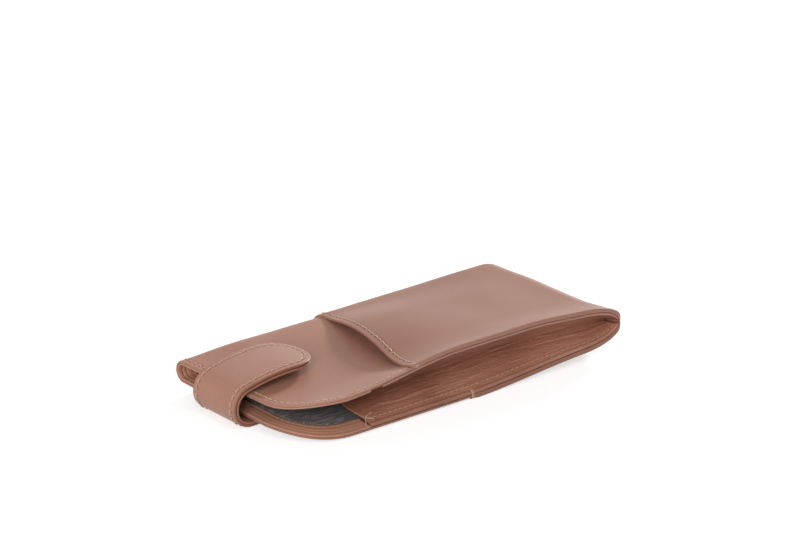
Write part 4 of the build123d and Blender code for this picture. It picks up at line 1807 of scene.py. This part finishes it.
@dataclass
class SpectacleCase:
    """All leathers, cloth and threads of the case."""

    form: CaseForm
    seam_inset: float = 2.7
    facing_inset: float = 6.6
    hem_inset: float = 2.9
    hem_reach: tuple[float, float] = (0.07, 2.942)
    sunk: float = 0.2
    hem_sunk: float = 0.16
    facing_sunk: float = 0.05
    stitch_height: float = 0.56
    fine_thread: float = 0.26
    fine_length: float = 1.7
    fine_pitch: float = 2.6
    front_tacks: tuple[tuple[float, float], ...] = ((1.9, 3.4), (2.7, 3.1))
    back_tacks: tuple[float, ...] = (0.7, 1.45)
    gusset_tacks: tuple[tuple[tuple[float, float, float], ...], ...] = (
        ((38.4, 5.7, -0.1), (36.2, 5.0, -0.2), (34.0, 4.2, -0.15), (33.0, 2.3, 0.5), (31.9, 0.9, 0.7)),
        ((34.2, 4.0, -0.15), (35.6, 3.2, -0.2), (37.0, 2.5, -0.1)),
    )

    def edge_row(self, side: Side, start: float, inset: float, depth: float, out: float = 1.0) -> StitchRow:
        """Stitch line along the outline, from the near edge round the mouth's corner to the far fold.

        Args:
            side: the panel.
            start: distance from the mouth where it starts on the near edge.
            inset: distance from the edge.
            depth: depth under the pocket leather's face.
            out: 1 for stitches that stand outwards, -1 inwards.

        Returns:
            The stitch row.
        """
        radius, width = self.form.mouth_corner, self.form.panel_run
        near = np.linspace(start, radius, 60)
        turn = np.linspace(0, QUARTER, 60)[1:-1]
        mouth = np.linspace(radius, width, 90)
        fold = np.linspace(1, 1.5, 50)[1:]
        arc = radius - inset
        u = np.concatenate([near, radius - arc * np.sin(turn), np.full(len(mouth) + len(fold), inset)])
        inward = np.concatenate([np.full(len(near), inset), radius - arc * np.cos(turn), mouth])
        share = np.concatenate([inward / width, fold])
        return self.row(u, share if side is Side.FRONT else 3 - share, depth, out)

    def row(
        self, u: np.ndarray, q: np.ndarray, depth: float, out: float = 1.0, arch: float = 0.0
    ) -> StitchRow:
        """Stitch line through given places.

        Args:
            u: distances from the mouth.
            q: across coordinates.
            depth: depth under the pocket leather's face.
            out: 1 for stitches that stand outwards, -1 inwards.
            arch: how far the pocket stands off.

        Returns:
            The stitch row.
        """
        depths = np.full_like(u, depth)
        points = self.form.point(u, q, depths, arch)
        higher = self.form.point(u, q, depths - 1.0, arch)
        return StitchRow(points, (higher - points) / MM * out)

    def build(self) -> None:
        """Builds every piece of the case and fixes all but the strap's to the case's body."""
        form = self.form
        calf = Leather("smooth_calf_leather", "A8735C", "9F6A53", "AC7A67", sheen=0.2).build()
        # Painted shade: the same calf as the body, painted darker to offset the light that the pocket's top
        # catches.
        pocket_calf_painted_shade = Leather("pocket_calf_leather_painted_shade", "9D6A54", "94614C", "A67461", sheen=0.1).build()
        # Painted light: the same calf as the body, painted lighter to make up for light that the strap's bend
        # and tongue lack.
        strap_calf_painted_light = Leather("strap_calf_leather_painted_light", "B3806B", "A97660", "98644E", sheen=0.2).build()
        matt = {"roughness": 0.55, "grain": 0.6}
        lined = Leather("flesh_side_leather", "A5735C", "96654F", "A37059", **matt).build()
        # Painted light: a tan facing leather, painted lighter still to stand in for light falling on the lip
        # of the mouth.
        facing_painted_light = Leather("facing_leather_painted_light", "C68F75", "B47E65", "BA8873", **matt).build()
        folded = {"roughness": 0.36, "crease_height": 0.7, "sheen": 0.05}
        # Painted light: the same calf, painted lighter to make up for light that the gusset's shaded recess
        # lacks.
        creased_calf_painted_light = Leather("creased_calf_leather_painted_light", "B57E67", "966049", "B58371", **folded).build()
        tweed, thread = Tweed().build(), Thread().build()
        body = Skin(form, "body_skin", form.body_depth, form.leather, 0.5, dent=0.7)
        pocket = Skin(
            form, "pocket_skin", 0.0, form.leather, 0.55, under_rounding=0.3, seam_inset=self.hem_inset,
            seam_depth=0.2, arch=form.pocket_arch, pocket=True, hem_turn=0.2, edge_turn=1.1,
            edge_reach=0.2, hem_rounding=0.25, skive=0.6,
        )
        cloth = Skin(
            form, "lining_cloth", form.layer_depth + form.board + form.glue, form.cloth, 0.15,
            seam_inset=1.5, seam_depth=0.0, first=8.3, pitch_along=3.0, pitch_across=3.0,
        )
        self.place(body.build(), calf, "body_leather", "case_leather")
        self.place(pocket.build(), pocket_calf_painted_shade, "pocket_leather", "case_leather")
        lining = cloth.build()
        self.place(lining, tweed, "lining", "lining_cloth")
        flat, area = cloth.cut()
        LOG.info("%s: cut %.4f x %.4f m, area %.6f m2", lining.name, *flat, area)
        gusset = Gusset(form)
        self.place(Facing(form).build(), facing_painted_light, "mouth_facing", "backing_leather")
        self.place(gusset.build(), creased_calf_painted_light, "gusset", "gusset_leather")
        sewing = Sewing(StitchTree(thread).build(), ThreadTree(thread).build())
        self.stitch(sewing, gusset)
        Strap(form).build({Layer.OUTER: strap_calf_painted_light, Layer.BACKING: lined}, sewing)
        self.dress_nodes(Board().build(), Brass().build())

    def place(
        self,
        piece: bpy.types.Object,
        material: bpy.types.Material | None = None,
        node: str | None = None,
        slot: str | None = None,
    ) -> None:
        """Dresses a piece and fixes it to the case's body.

        Args:
            piece: the piece.
            material: its finish, if it has none yet.
            node: the solid it stands for, if any.
            slot: the record's material slot, if any; not used.
        """
        if material:
            piece.data.materials.append(material)
        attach(piece, "case")
        if node:
            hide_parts(node)
        LOG.info("%s: %d faces", piece.name, len(piece.data.polygons))

    def stitch(self, sewing: Sewing, gusset: Gusset) -> None:
        """Sews the case's own seams.

        Args:
            sewing: lays the stitches.
            gusset: the gusset's law.
        """
        form = self.form
        outside, inside = form.body_depth + self.sunk, form.layer_depth + form.facing - self.facing_sunk
        fine = {"Thread": self.fine_thread, "Length": self.fine_length, "Pitch": self.fine_pitch}
        fine = {label: size * MM for label, size in fine.items()}
        starts = {Side.FRONT: form.pocket_near_front, Side.BACK: form.pocket_near_back}
        edges = [self.edge_row(side, start - 1.0, self.seam_inset, outside) for side, start in starts.items()]
        start = form.gusset_start - 1.0
        facing = [self.edge_row(side, start, self.facing_inset, inside, -1.0) for side in Side]
        q = np.linspace(*self.hem_reach, 300)
        hem = self.row(form.hem(q) + self.hem_inset, q, self.hem_sunk, 1.0, form.pocket_arch)
        hem.points[:, 2] = np.maximum(hem.points[:, 2], self.stitch_height * MM)
        tacks = [
            gusset.wrap(form.pocket_near_front + along, Side.FRONT, reach, False)
            for along, reach in self.front_tacks
        ]
        tacks += [gusset.wrap(form.pocket_near_back + along, Side.BACK, 1.0) for along in self.back_tacks]
        tacks += [gusset.tack(places) for places in self.gusset_tacks]
        self.place(sewing.sew("edge_stitches", edges))
        self.place(sewing.sew("facing_stitches", facing, fine))
        self.place(sewing.sew("hem_stitches", [hem]))
        self.place(sewing.sew("gusset_stitches", [gusset.seam()], fine))
        self.place(sewing.sew("bar_tacks", tacks, tacks=True))

    def dress_nodes(self, board: bpy.types.Material, brass: bpy.types.Material) -> None:
        """Gives the solids that stay in view their finishes.

        Args:
            board: finish of the stiffeners.
            brass: finish of the press stud.
        """
        finishes = {name: board for name in ("front_board", "back_board", "strap_tongue_core")}
        studs = ("snap_stud", "snap_post", "snap_socket", "snap_spring", "snap_cap")
        finishes.update({name: brass for name in studs})
        for name, material in finishes.items():
            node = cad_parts[name]
            node.data.materials.clear()
            node.data.materials.append(material)


# Studio


@dataclass(frozen=True)
class Lamp:
    """A soft square lamp that faces the object, with its place and side in metres and its watts."""

    name: str
    place: tuple[float, float, float]
    size: float
    power: float

    def build(self) -> None:
        """Makes the lamp."""
        data = bpy.data.lights.new(self.name, "AREA")
        data.size = self.size
        data.energy = self.power
        lamp = bpy.data.objects.new(self.name, data)
        lamp.location = self.place
        lamp.rotation_mode = "QUATERNION"
        lamp.rotation_quaternion = (-Vector(self.place)).to_track_quat("-Z", "Y")
        bpy.context.scene.collection.objects.link(lamp)


@dataclass
class Studio:
    """Pale floor, soft lamps and the camera at the photograph's viewing angle."""

    azimuth: float = -39.09
    elevation: float = 21.85
    focal_pixels: float = 5272.0
    distance: float = 2123.0
    target: tuple[float, float, float] = (4.1, -0.8, 8.0)
    centre_pixel: tuple[float, float] = (402.55, 352.16)
    frame_pixels: tuple[float, float] = (800.0, 549.0)
    sensor: float = 36.0
    clip: tuple[float, float] = (0.05, 50.0)
    ambient: float = 0.28
    floor_side: float = 6.0
    floor_drop: float = 0.05
    lamps: tuple[Lamp, ...] = (
        Lamp("key", (1.5, 0.6, 0.6), 0.25, 23.0),
        Lamp("fill", (-1.45, -0.85, 0.65), 0.9, 18.0),
        Lamp("top", (-0.3, -0.9, 1.5), 1.0, 4.5),
    )

    def camera(self) -> None:
        """Makes the camera."""
        a, e = math.radians(self.azimuth), math.radians(self.elevation)
        back = Vector((math.sin(a) * math.cos(e), -math.cos(a) * math.cos(e), math.sin(e)))
        right = Vector((math.cos(a), math.sin(a), 0.0))
        up = back.cross(right)
        shift = Vector(self.centre_pixel) - Vector(self.frame_pixels) / 2
        step = self.distance / self.focal_pixels
        place = Vector(self.target) + back * self.distance - right * shift.x * step + up * shift.y * step
        data = bpy.data.cameras.new("camera")
        data.sensor_width = self.sensor
        data.lens = self.sensor * self.focal_pixels / self.frame_pixels[0]
        data.clip_start, data.clip_end = self.clip
        camera = bpy.data.objects.new("camera", data)
        camera.rotation_mode = "QUATERNION"
        camera.rotation_quaternion = (-back).to_track_quat("-Z", "Y")
        camera.location = place * MM
        bpy.context.scene.collection.objects.link(camera)
        bpy.context.scene.camera = camera

    def world(self) -> None:
        """Lights the scene all round and shows white to the camera."""
        world = bpy.data.worlds.new("white_studio")
        world.use_nodes = True
        tree = world.node_tree
        tree.nodes.clear()
        seen = add_node(tree, "ShaderNodeLightPath").outputs
        ambient, shown = (
            add_node(tree, "ShaderNodeBackground", {"Color": linear(WHITE), "Strength": strength})
            for strength in (self.ambient, 1.0)
        )
        direct = add_node(
            tree, "ShaderNodeMath", {0: seen["Is Camera Ray"], 1: seen["Is Transmission Ray"]}, EITHER
        )
        mirrored = add_node(tree, "ShaderNodeMath", {0: direct, 1: seen["Is Glossy Ray"]}, EITHER)
        mixed = add_node(tree, "ShaderNodeMixShader", {0: mirrored, 1: ambient, 2: shown})
        add_node(tree, "ShaderNodeOutputWorld", {"Surface": mixed})
        bpy.context.scene.world = world

    def floor(self) -> None:
        """Makes the white floor, which keeps the object's shadow."""
        signs = np.array([[-1, -1], [1, -1], [1, 1], [-1, 1]])
        corners = np.column_stack([signs * self.floor_side, np.full(4, -self.floor_drop * MM)])
        floor = mesh_object("floor", corners, [[0, 1, 2, 3]])
        floor.data.materials.append(Paper().build())

    def build(self) -> None:
        """Builds the whole studio."""
        bpy.context.scene.view_settings.view_transform = "Standard"
        self.world()
        self.floor()
        for lamp in self.lamps:
            lamp.build()
        self.camera()


def main() -> None:
    """Builds the case and the studio."""
    logging.basicConfig(level=logging.INFO, format="%(message)s")
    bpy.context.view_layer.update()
    body_low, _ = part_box("body_leather")
    form = CaseForm(mouth_x=body_low.x / MM, near_y=body_low.y / MM)
    SpectacleCase(form).build()
    Studio().build()


if __name__ == "__main__":
    main()
